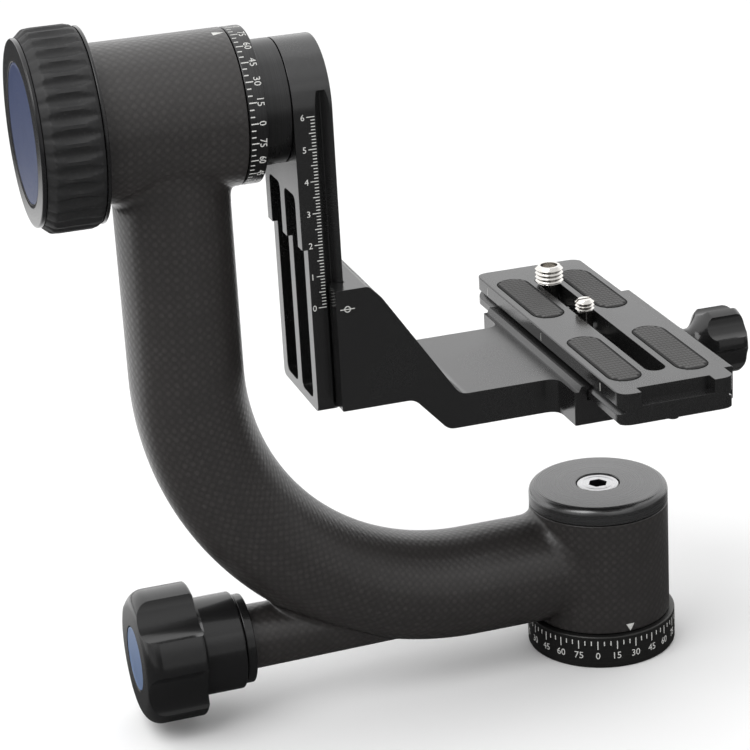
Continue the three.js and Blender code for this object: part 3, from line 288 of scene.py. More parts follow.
def lathe(name: str, profile: Sequence[Point], way: Way, centre: Point = ORIGIN, sides: int = 96) -> Piece:
    """Turn a line of (radius, place along the axis) into a closed shell.

    Args:
        name: The new piece's name.
        profile: The line; it starts and ends on the axis, or else it is a loop.
        way: The axis it turns about.
        centre: Where the axis stands, across it.
        sides: The facets round the axis.

    Returns:
        The turned piece.
    """
    line = list(profile)
    if line[0][0] > 0.0 and line[-1][0] > 0.0:
        line.append(line[0])
    points = [way.place(centre[0] + radius, centre[1], along) for radius, along in line]
    piece = draw_wire(name, points)
    bpy.ops.mesh.select_all(action="SELECT")
    bpy.ops.mesh.spin(steps=sides, angle=math.tau, center=way.place(*centre, 0.0), axis=way.axis())
    close_mesh()
    return piece


def turned(
    name: str, corners: Sequence[Corner], way: Way, centre: Point, sides: int, loop: bool = False,
    steps: int = 3,
) -> Piece:
    """Turn a profile, with the facets round the axis, whether it is a loop and the parts of each arc."""
    return lathe(name, eased(corners, loop, steps), way, centre, sides)


def prism(name: str, outline: Sequence[Point], start: float, end: float, way: Way) -> Piece:
    """Extrude a closed outline between two places along an axis.

    Args:
        name: The new piece's name.
        outline: The outline across the axis.
        start: Where it starts along the axis.
        end: Where it ends.
        way: The axis.

    Returns:
        The extruded piece.
    """
    piece = draw_wire(name, [way.place(u, v, start) for u, v in outline])
    bpy.ops.mesh.select_all(action="SELECT")
    bpy.ops.mesh.edge_face_add()
    extrude(way.axis() * (end - start))
    close_mesh()
    return piece


def apply(piece: Piece, kind: str, **settings: object) -> None:
    """Add a modifier to a piece and apply it.

    Args:
        piece: The piece.
        kind: The modifier's type.
        **settings: The modifier's properties.
    """
    modifier = piece.modifiers.new("work", kind)
    for key, value in settings.items():
        setattr(modifier, key, value)
    pick_up(piece)
    bpy.ops.object.modifier_apply(modifier=modifier.name)


def carve(piece: Piece, *tools: Piece) -> None:
    """Cut tools out of a piece, and scrap the tools.

    Args:
        piece: The piece.
        *tools: The tools.
    """
    for tool in tools:
        apply(piece, "BOOLEAN", operation="DIFFERENCE", solver="EXACT", object=tool)
        scrap(tool)


def soften(piece: Piece, width: float, segments: int = 2, angle: float = 32.0) -> None:
    """Bevel the edges that are sharper than an angle in degrees by a width in millimetres."""
    settings = {"limit_method": "ANGLE", "angle_limit": math.radians(angle), "miter_outer": "MITER_ARC"}
    apply(piece, "BEVEL", width=width * MM, segments=segments, **settings)


def smooth(piece: Piece, angle: float) -> None:
    """Shade a piece smooth, with flat faces kept flat.

    Args:
        piece: The piece.
        angle: The edges sharper than this, in degrees, stay crisp.
    """
    pick_up(piece)
    bpy.ops.object.shade_smooth_by_angle(angle=math.radians(angle))
    apply(piece, "WEIGHTED_NORMAL", keep_sharp=True, weight=80)


def sculpt(piece: Piece, move: Move) -> None:
    """Move each vertex of a piece by a function of its place in millimetres."""
    for vertex in piece.data.vertices:
        vertex.co = move(vertex.co / MM) * MM


def gather(name: str, parts: Sequence[Piece]) -> Piece:
    """Join parts into one piece.

    Args:
        name: The piece's name.
        parts: The parts; the first keeps its object.

    Returns:
        The joined piece.
    """
    put_down()
    for part in parts:
        part.select_set(True)
    bpy.context.view_layer.objects.active = parts[0]
    if len(parts) > 1:
        bpy.ops.object.join()
    return named(name)


def copy_of(piece: Piece, name: str) -> Piece:
    """Copy a piece with its own mesh, free of its parent and properties.

    Args:
        piece: The piece.
        name: The copy's name.

    Returns:
        The copy.
    """
    pick_up(piece)
    bpy.ops.object.duplicate(linked=False)
    twin = named(name)
    for key in list(twin.keys()):
        del twin[key]
    twin.parent = None
    return twin


def lay_uv(piece: Piece, chart: Chart) -> None:
    """Give a piece a UV map in metres.

    Args:
        piece: The piece.
        chart: Where a vertex of a face with its middle at a place lies on the map, in millimetres.
    """
    mesh = piece.data
    layer = mesh.uv_layers.new(name=CLOTH_MAP)
    for face in mesh.polygons:
        middle = face.center / MM
        for loop in face.loop_indices:
            u, v = chart(mesh.vertices[mesh.loops[loop].vertex_index].co / MM, middle)
            layer.data[loop].uv = (u * MM, v * MM)


def round_chart(way: Way, centre: Point, radius: float, start: float) -> Chart:
    """A chart that unrolls a round piece: around it first, then along it.

    Args:
        way: The piece's axis.
        centre: Where the axis stands.
        radius: The radius at which the chart is true to scale.
        start: The angle in radians opposite the seam.

    Returns:
        The chart.
    """

    def chart(point: Vector, middle: Vector) -> Point:
        """Unroll one corner."""
        angle, _, along = way.polar(point, centre)
        return near(angle, near(way.polar(middle, centre)[0], start)) * radius, along

    return chart


def ringed(name: str, rings: Sequence[Sequence[Vector]]) -> Piece:
    """Shape a torus into a closed loop of rings.

    Args:
        name: The new piece's name.
        rings: The rings' points in millimetres, all with the same count.

    Returns:
        The shaped piece.
    """
    put_down()
    bpy.ops.mesh.primitive_torus_add(major_segments=len(rings), minor_segments=len(rings[0]))
    piece = named(name)
    for vertex, point in zip(piece.data.vertices, (point for ring in rings for point in ring)):
        vertex.co = point * MM
    open_mesh(piece)
    close_mesh()
    return piece


def written(words: str, height: float, spot: Spot) -> Piece:
    """Write a number as raised paint on a surface.

    Args:
        words: What is written.
        height: The height of the figures in millimetres.
        spot: Where (right, up, out) from the middle of the writing lies, in millimetres.

    Returns:
        The writing as a mesh.
    """
    put_down()
    bpy.ops.object.text_add(location=(0.0, 0.0, 0.0))
    label = bpy.context.active_object
    label.data.body = words
    label.data.size = 1.0
    label.data.resolution_u = 3
    label.data.extrude = 0.02
    bpy.ops.object.convert(target="MESH")
    label = bpy.context.active_object
    corners = [vertex.co.copy() for vertex in label.data.vertices]
    low = [min(corner[i] for corner in corners) for i in (0, 1)]
    high = [max(corner[i] for corner in corners) for i in (0, 1)]
    scale = height / (high[1] - low[1])
    for vertex, corner in zip(label.data.vertices, corners):
        right, up = ((corner[i] - (low[i] + high[i]) / 2) * scale for i in (0, 1))
        vertex.co = spot(right, up, FIGURE_TOP if corner.z > 0 else PAINT_ROOT) * MM
    return label


def stroke(size: Point, spot: Spot) -> Piece:
    """Paint one straight stroke, as a thin bar set into a surface.

    Args:
        size: Its extent to the right and up, in millimetres.
        spot: Where (right, up, out) from the stroke's middle lies, in millimetres.

    Returns:
        The stroke.
    """
    put_down()
    bpy.ops.mesh.primitive_cube_add(size=1.0, location=(0.0, 0.0, 0.0))
    bar = bpy.context.active_object
    for vertex in bar.data.vertices:
        right, up, out = vertex.co
        vertex.co = spot(right * size[0], up * size[1], STROKE_TOP if out > 0 else PAINT_ROOT) * MM
    return bar


def round_bar(radius: float, start: float, end: float, way: Way, centre: Point, sides: int = 32) -> Piece:
    """A plain round tool for carving."""
    return lathe("tool", [(0.0, start), (radius, start), (radius, end), (0.0, end)], way, centre, sides)


def hex_bar(across: float, start: float, end: float, way: Way, centre: Point) -> Piece:
    """A hexagonal tool for carving a key socket."""
    corners = [around(centre, across / math.sqrt(3), math.tau * i / 6) for i in range(6)]
    return prism("tool", corners, start, end, way)


# Finishes


class Slot(Enum):
    """The record's material slots."""

    CARBON = "carbon"
    ANODISED = "anodised"
    KNOB = "knob"
    CLAMP = "clamp_paint"
    GLOSS = "gloss"
    RUBBER = "rubber"
    STEEL = "steel"
    NICKEL = "nickel"
    BRASS = "brass"
    NAVY = "navy"
    SKY = "sky"


def opaque(colour: Colour, factor: float = 1.0, lift: float = 0.0) -> tuple[float, float, float, float]:
    """A colour with its alpha, made lighter by a factor and a lift."""
    return (*(min(1.0, part * factor + lift) for part in colour), 1.0)


class Graph:
    """A node tree and the short words that wire it."""

    def __init__(self, tree: bpy.types.NodeTree) -> None:
        """Keep the tree."""
        self.tree = tree

    def node(self, kind: str, **settings: object) -> Node:
        """Add a node.

        Args:
            kind: The node's type.
            **settings: The node's properties.

        Returns:
            The node.
        """
        made = self.tree.nodes.new(kind)
        for key, value in settings.items():
            setattr(made, key, value)
        return made

    def feed(self, socket: Socket, source: object) -> None:
        """Link a socket to another, or set its value.

        Args:
            socket: The socket.
            source: The other socket, or the value.
        """
        if isinstance(source, Socket):
            self.tree.links.new(source, socket)
        else:
            socket.default_value = source

    def fed(self, kind: str, inputs: dict, output: int | str = 0, **settings: object) -> Socket:
        """Add a node and feed it.

        Args:
            kind: The node's type.
            inputs: The source of each input, by its name or number.
            output: The name or number of the output.
            **settings: The node's properties.

        Returns:
            The output.
        """
        made = self.node(kind, **settings)
        for key, source in inputs.items():
            self.feed(made.inputs[key], source)
        return made.outputs[output]

    def math(self, operation: str, *values: object) -> Socket:
        """One step of arithmetic."""
        return self.fed("ShaderNodeMath", dict(enumerate(values)), operation=operation)

    def vector(self, operation: str, first: object, second: object, key: int | str = 1) -> Socket:
        """One step of vector arithmetic, whose second value goes to a named or numbered input."""
        return self.fed("ShaderNodeVectorMath", {0: first, key: second}, operation=operation)

    def noise(self, vector: object, scale: object, detail: float = 3.0) -> Socket:
        """Noise between 0 and 1."""
        return self.fed("ShaderNodeTexNoise", {"Vector": vector, "Scale": scale, "Detail": detail}, "Fac")

    def between(self, value: object, low: float, high: float, to: Point = (0.0, 1.0)) -> Socket:
        """Carry a value from one range to another with soft ends."""
        inputs = {"Value": value, "From Min": low, "From Max": high, "To Min": to[0], "To Max": to[1]}
        return self.fed("ShaderNodeMapRange", inputs, "Result", interpolation_type="SMOOTHSTEP")

    def blend(self, factor: object, first: object, second: object) -> Socket:
        """Mix two colours."""
        return self.fed("ShaderNodeMix", {0: factor, 6: first, 7: second}, 2, data_type="RGBA")

    def mix(self, factor: object, first: object, second: object) -> Socket:
        """Mix two numbers."""
        return self.fed("ShaderNodeMix", {0: factor, 2: first, 3: second})

    def split(self, vector: object) -> Sequence[Socket]:
        """Split a vector into its three parts.

        Args:
            vector: The vector.

        Returns:
            The parts.
        """
        made = self.node("ShaderNodeSeparateXYZ")
        self.feed(made.inputs[0], vector)
        return made.outputs


@dataclass(frozen=True)
class Effect:
    """A shared effect: a shader node group that takes a vector and a scale.

    Attributes:
        name: The group's name.
        scale: The scale where a material sets none.
        outputs: The names of the outputs.
        wire: What wires the group, from its graph, vector and scale to each output's source.
    """

    name: str
    scale: float
    outputs: tuple[str, ...]
    wire: Callable[[Graph, Socket, Socket], tuple[Socket, ...]]

    def group(self) -> bpy.types.NodeTree:
        """Build the node group the first time it is asked for.

        Returns:
            The group's tree.
        """
        tree = bpy.data.node_groups.get(self.name)
        if tree is not None:
            return tree
        tree = bpy.data.node_groups.new(self.name, "ShaderNodeTree")
        tree.interface.new_socket(name="Vector", in_out="INPUT", socket_type="NodeSocketVector")
        scale = tree.interface.new_socket(name="Scale", in_out="INPUT", socket_type="NodeSocketFloat")
        scale.default_value = self.scale
        for name in self.outputs:
            tree.interface.new_socket(name=name, in_out="OUTPUT", socket_type="NodeSocketFloat")
        graph = Graph(tree)
        entry = graph.node("NodeGroupInput").outputs
        leave = graph.node("NodeGroupOutput").inputs
        for name, source in zip(self.outputs, self.wire(graph, entry["Vector"], entry["Scale"])):
            graph.feed(leave[name], source)
        return tree

    def use(self, graph: Graph, vector: Socket, scale: float) -> Sequence[Socket]:
        """Place the effect in a material.

        Args:
            graph: The material's graph.
            vector: Where a point lies.
            scale: The effect's steps per metre.

        Returns:
            The effect's outputs.
        """
        made = graph.node("ShaderNodeGroup", node_tree=self.group())
        graph.feed(made.inputs["Vector"], vector)
        graph.feed(made.inputs["Scale"], scale)
        return made.outputs


def wire_grain(graph: Graph, vector: Socket, scale: Socket) -> tuple[Socket, ...]:
    """Wire blasted grain.

    Args:
        graph: The group's graph.
        vector: Where a point lies.
        scale: The grain's steps per metre.

    Returns:
        The fine height, and the same grain as a mask for painted glints.
    """
    fine = graph.noise(vector, scale, 4.0)
    coarse = graph.noise(vector, graph.math("MULTIPLY", scale, 0.31), 2.0)
    return graph.math("MULTIPLY_ADD", coarse, 0.5, fine), graph.between(fine, 0.42, 0.68)


def wire_handling(graph: Graph, vector: Socket, scale: Socket) -> tuple[Socket, ...]:
    """Wire the traces of use.

    Args:
        graph: The group's graph.
        vector: Where a point lies.
        scale: The smudges' steps per metre.

    Returns:
        The soft smudges, the thin dust and the hairline scuffs.
    """
    wide = graph.noise(vector, scale, 2.0)
    dust = graph.noise(vector, graph.math("MULTIPLY", scale, 26.0), 5.0)
    drawn = graph.vector("MULTIPLY", vector, (1.0, 0.22, 0.16))
    line = graph.noise(drawn, graph.math("MULTIPLY", scale, 9.0), 1.0)
    scuff = graph.between(graph.math("ABSOLUTE", graph.math("SUBTRACT", line, 0.5)), 0.006, 0.0)
    worn = graph.math("MULTIPLY", scuff, graph.between(wide, 0.5, 0.7))
    return graph.between(wide, 0.35, 0.7), graph.between(dust, 0.56, 0.78), worn


def wire_turning(graph: Graph, vector: Socket, scale: Socket) -> tuple[Socket, ...]:
    """Wire the fine rings that a lathe leaves.

    Args:
        graph: The group's graph.
        vector: Where a point lies, with Z along the axis.
        scale: The rings' steps per metre.

    Returns:
        The rings' height.
    """
    x, y, z = graph.split(vector)
    squares = graph.math("ADD", graph.math("POWER", x, 2.0), graph.math("POWER", y, 2.0))
    joined = graph.fed("ShaderNodeCombineXYZ", {0: graph.math("SQRT", squares), 1: z})
    return (graph.noise(joined, scale, 4.0),)


def wire_weave(graph: Graph, vector: Socket, scale: Socket) -> tuple[Socket, ...]:
    """Wire carbon cloth: a square field of soft lumps, with tows that cross in turn.

    Args:
        graph: The group's graph.
        vector: Where a point lies on the cloth.
        scale: The lumps per metre.

    Returns:
        The cloth's height, and where the lumps take a painted sheen.
    """
    places = graph.split(graph.vector("SCALE", vector, scale, "Scale"))[:2]
    sets = []
    for shift in (0.0, math.pi):
        waves = [graph.math("COSINE", graph.math("MULTIPLY_ADD", place, math.tau, shift)) for place in places]
        sets.append(graph.math("MULTIPLY", *(graph.math("MULTIPLY_ADD", wave, -0.5, 0.5) for wave in waves)))
    lump = graph.math("MAXIMUM", sets[0], graph.math("MULTIPLY", sets[1], 0.6))
    turn = graph.math("PINGPONG", graph.math("ADD", *(graph.math("FLOOR", place) for place in places)), 1.0)
    tows = [graph.math("SINE", graph.math("MULTIPLY", place, math.tau * 7.0)) for place in places]
    strands = graph.math("MULTIPLY", graph.mix(turn, *tows), lump)
    return graph.math("MULTIPLY_ADD", strands, 0.06, lump), graph.between(lump, 0.05, 0.85)


GRAIN = Effect("blasted_grain", 3000.0, ("Height", "Specks"), wire_grain)
HANDLING = Effect("handling_traces", 40.0, ("Smudge", "Dust", "Scuff"), wire_handling)
TURNING = Effect("lathe_rings", 3000.0, ("Rings",), wire_turning)
WEAVE = Effect("carbon_weave", 357.0, ("Height", "Light"), wire_weave)


@dataclass(frozen=True)
class Finish:
    """A surface finish and the material that shows it.

    Attributes:
        name: The material's name.
        slot: The record's slot that it belongs to; not used.
        colour: The base colour.
        metallic: How metallic it is.
        roughness: The roughness where nothing has touched it.
        grain: The grain's steps per metre.
        bump: The depth of the grain in millimetres.
        coat: The weight of a clear coat.
        coat_roughness: The coat's roughness.
        wear: How much the traces of handling show.
        dust: The colour that dust turns it to.
    """

    name: str
    slot: Slot
    colour: Colour
    metallic: float
    roughness: float
    grain: float = 2600.0
    bump: float = 0.012
    coat: float = 0.0
    coat_roughness: float = 0.1
    wear: float = 0.05
    dust: Colour = (0.35, 0.34, 0.33)

    def material(self) -> bpy.types.Material:
        """Build the finish's material the first time it is asked for.

        Returns:
            The material.
        """
        made = bpy.data.materials.get(self.name)
        if made is not None:
            return made
        made = bpy.data.materials.new(self.name)
        made.use_nodes = True
        made.node_tree.nodes.clear()
        graph = Graph(made.node_tree)
        shader = graph.node("ShaderNodeBsdfPrincipled")
        shader.inputs["Metallic"].default_value = self.metallic
        shader.inputs["Coat Weight"].default_value = self.coat
        shader.inputs["Coat Roughness"].default_value = self.coat_roughness
        place = graph.node("ShaderNodeTexCoord").outputs["Object"]
        self.wire(graph, shader.inputs, place)
        graph.feed(graph.node("ShaderNodeOutputMaterial").inputs["Surface"], shader.outputs[0])
        return made

    def wire(self, graph: Graph, shader: Sequence[Socket], place: Socket) -> None:
        """Wire the grain and the traces of use to the shader's inputs, from a point's place."""
        grain = GRAIN.use(graph, place, self.grain)
        self.cover(graph, shader, place, grain["Height"], grain["Specks"])

    def cover(
        self, graph: Graph, shader: Sequence[Socket], place: Socket, height: Socket, glints: Socket
    ) -> None:
        """Feed the shader's colour, roughness and normal.

        Args:
            graph: The material's graph.
            shader: The shader's inputs.
            place: Where a point lies on the piece.
            height: The surface's fine height.
            glints: Where the grain catches light.
        """
        traces = HANDLING.use(graph, place, 38.0)
        # Painted glints: where the grain or the lathe rings catch light, the base colour is painted up to a
        # third lighter.
        bright = opaque(self.colour, 1.35, 0.004)
        colour = graph.blend(graph.math("MULTIPLY", glints, 0.5), opaque(self.colour), bright)
        worn = graph.math("MULTIPLY", traces["Dust"], self.wear * 0.8)
        graph.feed(shader["Base Color"], graph.blend(worn, colour, opaque(self.dust)))
        rough = graph.math("MULTIPLY_ADD", traces["Smudge"], self.wear, self.roughness)
        rough = graph.math("MULTIPLY_ADD", traces["Scuff"], self.wear * 1.5, rough)
        graph.feed(shader["Roughness"], graph.math("MULTIPLY_ADD", glints, 0.04, rough))
        self.relief(graph, shader, height)

    def relief(self, graph: Graph, shader: Sequence[Socket], height: Socket) -> None:
        """Feed the shader's normal from a fine height."""
        inputs = {"Strength": 1.0, "Distance": self.bump * MM, "Height": height}
        graph.feed(shader["Normal"], graph.fed("ShaderNodeBump", inputs))


@dataclass(frozen=True)
class TurnedFinish(Finish):
    """A finish that a lathe left, with fine rings about the piece's axis.

    Attributes:
        way: The axis the piece was turned about.
        centre: Where that axis stands, in millimetres.
    """

    way: Way = Way.Z
    centre: Point = ORIGIN

    def wire(self, graph: Graph, shader: Sequence[Socket], place: Socket) -> None:
        """Wire the rings and the traces of use to the shader.

        Args:
            graph: The material's graph.
            shader: The shader's inputs.
            place: Where a point lies on the piece.
        """
        turn = math.pi / 2 if self.way is Way.X else 0.0
        stand = self.way.place(*self.centre, 0.0)
        inputs = {"Vector": place, "Location": stand, "Rotation": (0.0, turn, 0.0)}
        axial = graph.fed("ShaderNodeMapping", inputs, vector_type="TEXTURE")
        rings = TURNING.use(graph, axial, self.grain)["Rings"]
        # The rings' crests serve as the painted glints.
        self.cover(graph, shader, place, rings, graph.between(rings, 0.45, 0.62))


@dataclass(frozen=True)
class WovenFinish(Finish):
    """Carbon cloth under satin lacquer, on the piece's own UV map, with a painted sheen on its lumps.

    Attributes:
        show: How much lighter the lumps are painted, as a painted sheen.
    """

    show: float = 0.55

    def wire(self, graph: Graph, shader: Sequence[Socket], place: Socket) -> None:
        """Wire the cloth and the traces of use to the shader.

        Args:
            graph: The material's graph.
            shader: The shader's inputs.
            place: Where a point lies on the piece.
        """
        chart = graph.node("ShaderNodeUVMap", uv_map=CLOTH_MAP)
        cloth = WEAVE.use(graph, chart.outputs[0], self.grain)
        traces = HANDLING.use(graph, place, 30.0)
        # Painted sheen: the weave's lumps are painted lighter, in patches, where the cloth would catch the
        # light; the lumps' bump below is real relief.
        patchy = graph.between(graph.noise(place, 160.0, 2.0), 0.3, 0.7, (0.45, 1.0))
        shown = graph.math("MULTIPLY", cloth["Light"], patchy)
        colour = graph.blend(shown, opaque(self.colour), opaque(self.colour, 1.0 + self.show))
        worn = graph.math("MULTIPLY", traces["Dust"], self.wear)
        graph.feed(shader["Base Color"], graph.blend(worn, colour, opaque(self.dust)))
        rough = graph.math("MULTIPLY_ADD", shown, -0.07, self.roughness)
        graph.feed(shader["Roughness"], graph.math("MULTIPLY_ADD", traces["Smudge"], self.wear, rough))
        fine = graph.noise(place, 2400.0, 3.0)
        self.relief(graph, shader, graph.math("MULTIPLY_ADD", fine, 0.22, cloth["Height"]))


CLOTH = {"grain": 357.0, "bump": 0.07, "coat": 0.25, "coat_roughness": 0.3, "wear": 0.03}
ON_TILT = {"way": Way.X, "centre": TILT_CENTRE}
RUBBER_DUST = (0.16, 0.155, 0.15)
PAD_DUST = (0.2, 0.19, 0.18)
STEEL_COLOUR = (0.56, 0.56, 0.55)

CARBON = WovenFinish("carbon_cloth", Slot.CARBON, (0.026, 0.0238, 0.023), 0.0, 0.36, **CLOTH)
ANODISED = Finish("black_anodised", Slot.ANODISED, (0.09, 0.09, 0.0905), 0.9, 0.2, 3800.0, 0.0015)
RING = TurnedFinish("black_turned_z", Slot.ANODISED, (0.05, 0.0495, 0.048), 0.8, 0.34, 5200.0, 0.003)
HUB = TurnedFinish(
    "black_turned_x", Slot.ANODISED, (0.065, 0.065, 0.0655), 0.9, 0.26, 5200.0, 0.003, **ON_TILT
)
KNOB = Finish("satin_knob", Slot.KNOB, (0.008, 0.008, 0.0082), 0.0, 0.18, 2200.0, 0.0003, 0.2, 0.08, 0.01)
POLISHED = TurnedFinish("polished_cap", Slot.GLOSS, (0.14, 0.14, 0.141), 0.9, 0.24, 6400.0, 0.0003, wear=0.02)
GLOSS = TurnedFinish(
    "glossy_cap", Slot.GLOSS, (0.015, 0.015, 0.016), 0.2, 0.12, 6400.0, 0.002, wear=0.03, **ON_TILT
)
RUBBER = Finish(
    "black_rubber", Slot.RUBBER, (0.014, 0.014, 0.0145), 0.0, 0.55, 1500.0, 0.03, wear=0.12, dust=RUBBER_DUST
)
PAD = Finish("pad_rubber", Slot.RUBBER, (0.05, 0.049, 0.048), 0.0, 0.55, bump=0.01, wear=0.08, dust=PAD_DUST)
# Painted shade: a near-black rubber for the slab between the pad's studs, where the grooves lie in shade.
GROOVE_SHADE = Finish("pad_groove_shade", Slot.RUBBER, (0.004, 0.004, 0.004), 0.0, 0.8, bump=0.01, wear=0.04)
STEEL_Z = TurnedFinish("turned_steel_z", Slot.STEEL, STEEL_COLOUR, 1.0, 0.26, 5200.0, 0.006)
STEEL_X = TurnedFinish("turned_steel_x", Slot.STEEL, STEEL_COLOUR, 1.0, 0.26, 5200.0, 0.006, **ON_TILT)
STEEL = Finish("plain_steel", Slot.STEEL, (0.5, 0.5, 0.49), 1.0, 0.3, 4200.0, 0.006)
BLACK_STEEL = Finish("black_oxide_screws", Slot.STEEL, (0.09, 0.088, 0.086), 0.9, 0.36, 3000.0, 0.008)
# Painted shade: a near-black finish for the inside of the centre screw's key socket, where the recess lies in
# shade.
SOCKET_SHADE = Finish("painted_socket_shade", Slot.NICKEL, (0.02, 0.02, 0.02), 0.4, 0.45, 3000.0, 0.004)
SILVER = TurnedFinish("silver_face", Slot.NICKEL, (0.82, 0.82, 0.83), 0.75, 0.36, 5600.0, 0.006)
NICKEL = Finish("bright_nickel", Slot.NICKEL, (0.72, 0.7, 0.67), 1.0, 0.12, bump=0.003)
BRASS = Finish("machined_brass", Slot.BRASS, (0.58, 0.42, 0.18), 1.0, 0.32, 3000.0, 0.01)
NAVY = TurnedFinish(
    "navy_disc", Slot.NAVY, (0.014, 0.03, 0.1), 0.0, 0.4, 5200.0, 0.003, 0.1, 0.15, **ON_TILT
)
SKY = TurnedFinish(
    "pale_blue_disc", Slot.SKY, (0.16, 0.24, 0.42), 0.3, 0.3, 5200.0, 0.004, 0.4, 0.12,
    way=Way.X, centre=LOCK_CENTRE,
)
PAINT = Finish("white_paint", Slot.ANODISED, (0.6, 0.6, 0.58), 0.0, 0.6, 3200.0, 0.008, wear=0.1)

HIDDEN_FINISHES = {
    "pan_liner": RING,
    "pan_retaining": STEEL_Z,
    "pan_spindle": STEEL_Z,
    "pan_lower": STEEL_Z,
    "pan_upper": STEEL_Z,
    "pan_brake": BRASS,
    "pan_lock": STEEL,
    "tilt_liner": HUB,
    "tilt_brake": BRASS,
    "height_gib": BRASS,
    "tilt_": STEEL_X,
}


def fit(
    piece: Piece, finish: Finish, body: str, *nodes: str, slot: Slot | None = None, crisp: float = CRISP
) -> None:
    """Shade and dress a piece, set it on its body and hide the CAD nodes it stands for.

    Args:
        piece: The piece.
        finish: Its finish.
        body: The CAD body that it rides on.
        *nodes: The CAD nodes that it replaces.
        slot: The record's slot, if it isn't the finish's own; not used.
        crisp: The edges sharper than this, in degrees, stay crisp; zero leaves the shading alone.
    """
    if crisp:
        smooth(piece, crisp)
    piece.data.materials.clear()
    piece.data.materials.append(finish.material())
    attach(piece, body)
    if nodes:
        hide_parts(*nodes)
    LOG.info("%s rides on %s, %d faces", piece.name, body, len(piece.data.polygons))


def paint(name: str, marks: Sequence[Piece], body: str, slot: Slot = Slot.ANODISED) -> None:
    """Join painted marks into one piece on a body."""
    fit(gather(name, marks), PAINT, body, slot=slot, crisp=0.0)


def tint(piece: Piece, finish: Finish, chosen: Callable[[Vector], bool]) -> None:
    """Give some faces of a piece a second finish.

    Args:
        piece: The piece, which already has its own finish.
        finish: The second finish.
        chosen: Whether a face with its middle at a place gets it.
    """
    piece.data.materials.append(finish.material())
    for face in piece.data.polygons:
        if chosen(face.center / MM):
            face.material_index = 1


def machined(frame: dict, node: str, name: str, edge: float, body: str) -> None:
    """Take a merged copy of a CAD node, ease its edges and fit it as black anodised metal.

    Args:
        frame: The loaded frame.
        node: The CAD node.
        name: The new piece's name.
        edge: The width of the eased edges in millimetres.
        body: The CAD body that it rides on.
    """
    piece = copy_of(frame["nodes"][node], name)
    piece.data.materials.clear()
    open_mesh(piece)
    bpy.ops.mesh.customdata_custom_splitnormals_clear()
    bpy.ops.mesh.remove_doubles(threshold=MERGE)
    bpy.ops.mesh.mark_sharp(clear=True)
    bpy.ops.mesh.dissolve_limited(angle_limit=math.radians(0.6))
    close_mesh()
    soften(piece, edge)
    fit(piece, ANODISED, body, node)


def box_of(node: str) -> tuple[Vector, Vector]:
    """The low and the high corner of a CAD node, in millimetres."""
    low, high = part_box(node)
    return low / MM, high / MM


# Sub-assemblies


class Assembly:
    """A sub-assembly."""

    def build(self) -> None:
        """Make the sub-assembly's pieces."""
        raise NotImplementedError


@dataclass
class Lobes:
    """The scallops cut round a knob.

    Attributes:
        centre: Where the knob's axis stands.
        radius: The radius over the lobes.
        tool: The radius of each scallop.
        depth: How deep each scallop is.
        first: The angle of the first scallop, in degrees.
        count: The number of lobes.
    """

    centre: Point
    radius: float
    tool: float
    depth: float
    first: float
    count: int

    def cut(self, knob: Piece, start: float, end: float) -> None:
        """Cut the scallops into a knob.

        Args:
            knob: The round knob.
            start: Where the cuts start along X.
            end: Where they end.
        """
        reach = self.radius - self.depth + self.tool
        tools = []
        for i in range(self.count):
            at = around(self.centre, reach, math.radians(self.first) + math.tau * i / self.count)
            tools.append(round_bar(self.tool, start, end, Way.X, at, 96))
        carve(knob, *tools)


@dataclass
class DegreeScale(Assembly):
    """A scale round a ring, with a mark every five degrees and a number every fifteen.

    Attributes:
        name: What its pieces' names start with.
        body: The body that it rides on.
        spot: Where the marks at an angle and a place along the axis lie.
        root: Where the marks start along the axis.
        lengths: The lengths of a long and a short mark.
        width: The marks' width.
        row: Where the middle of the figures is along the axis.
        figure: The figures' height.
        zero: The angle of the zero, in degrees.
    """

    name: str
    body: str
    spot: Callable[[float, float], Spot]
    root: float
    lengths: Point
    width: float
    row: float
    figure: float
    zero: float = 0.0

    def build(self) -> None:
        """Paint the marks and the numbers."""
        strokes, figures = [], []
        for step in range(72):
            degrees = self.zero + 5.0 * step
            length = self.lengths[0 if step % 3 == 0 else 1]
            middle = self.spot(degrees, self.root + length / 2)
            strokes.append(stroke((self.width, abs(length)), middle))
            if step % 3 == 0:
                figures.append(written(str(5 * step % 90), self.figure, self.spot(degrees, self.row)))
        paint(f"{self.name}_marks", strokes, self.body)
        paint(f"{self.name}_figures", figures, self.body)


@dataclass
class SocketScrew:
    """A screw with a hexagonal key socket.

    Attributes:
        name: The piece's name.
        profile: The screw's profile.
        way: Its axis.
        centre: Where the axis stands.
        sides: The facets round it.
        key: The socket's width across its flats, and where it starts and ends.
    """

    name: str
    profile: Profile
    way: Way
    centre: Point
    sides: int
    key: Triple

    def piece(self) -> Piece:
        """Turn the screw and cut its socket.

        Returns:
            The screw.
        """
        screw = turned(self.name, self.profile, self.way, self.centre, self.sides)
        carve(screw, hex_bar(*self.key, self.way, self.centre))
        return screw


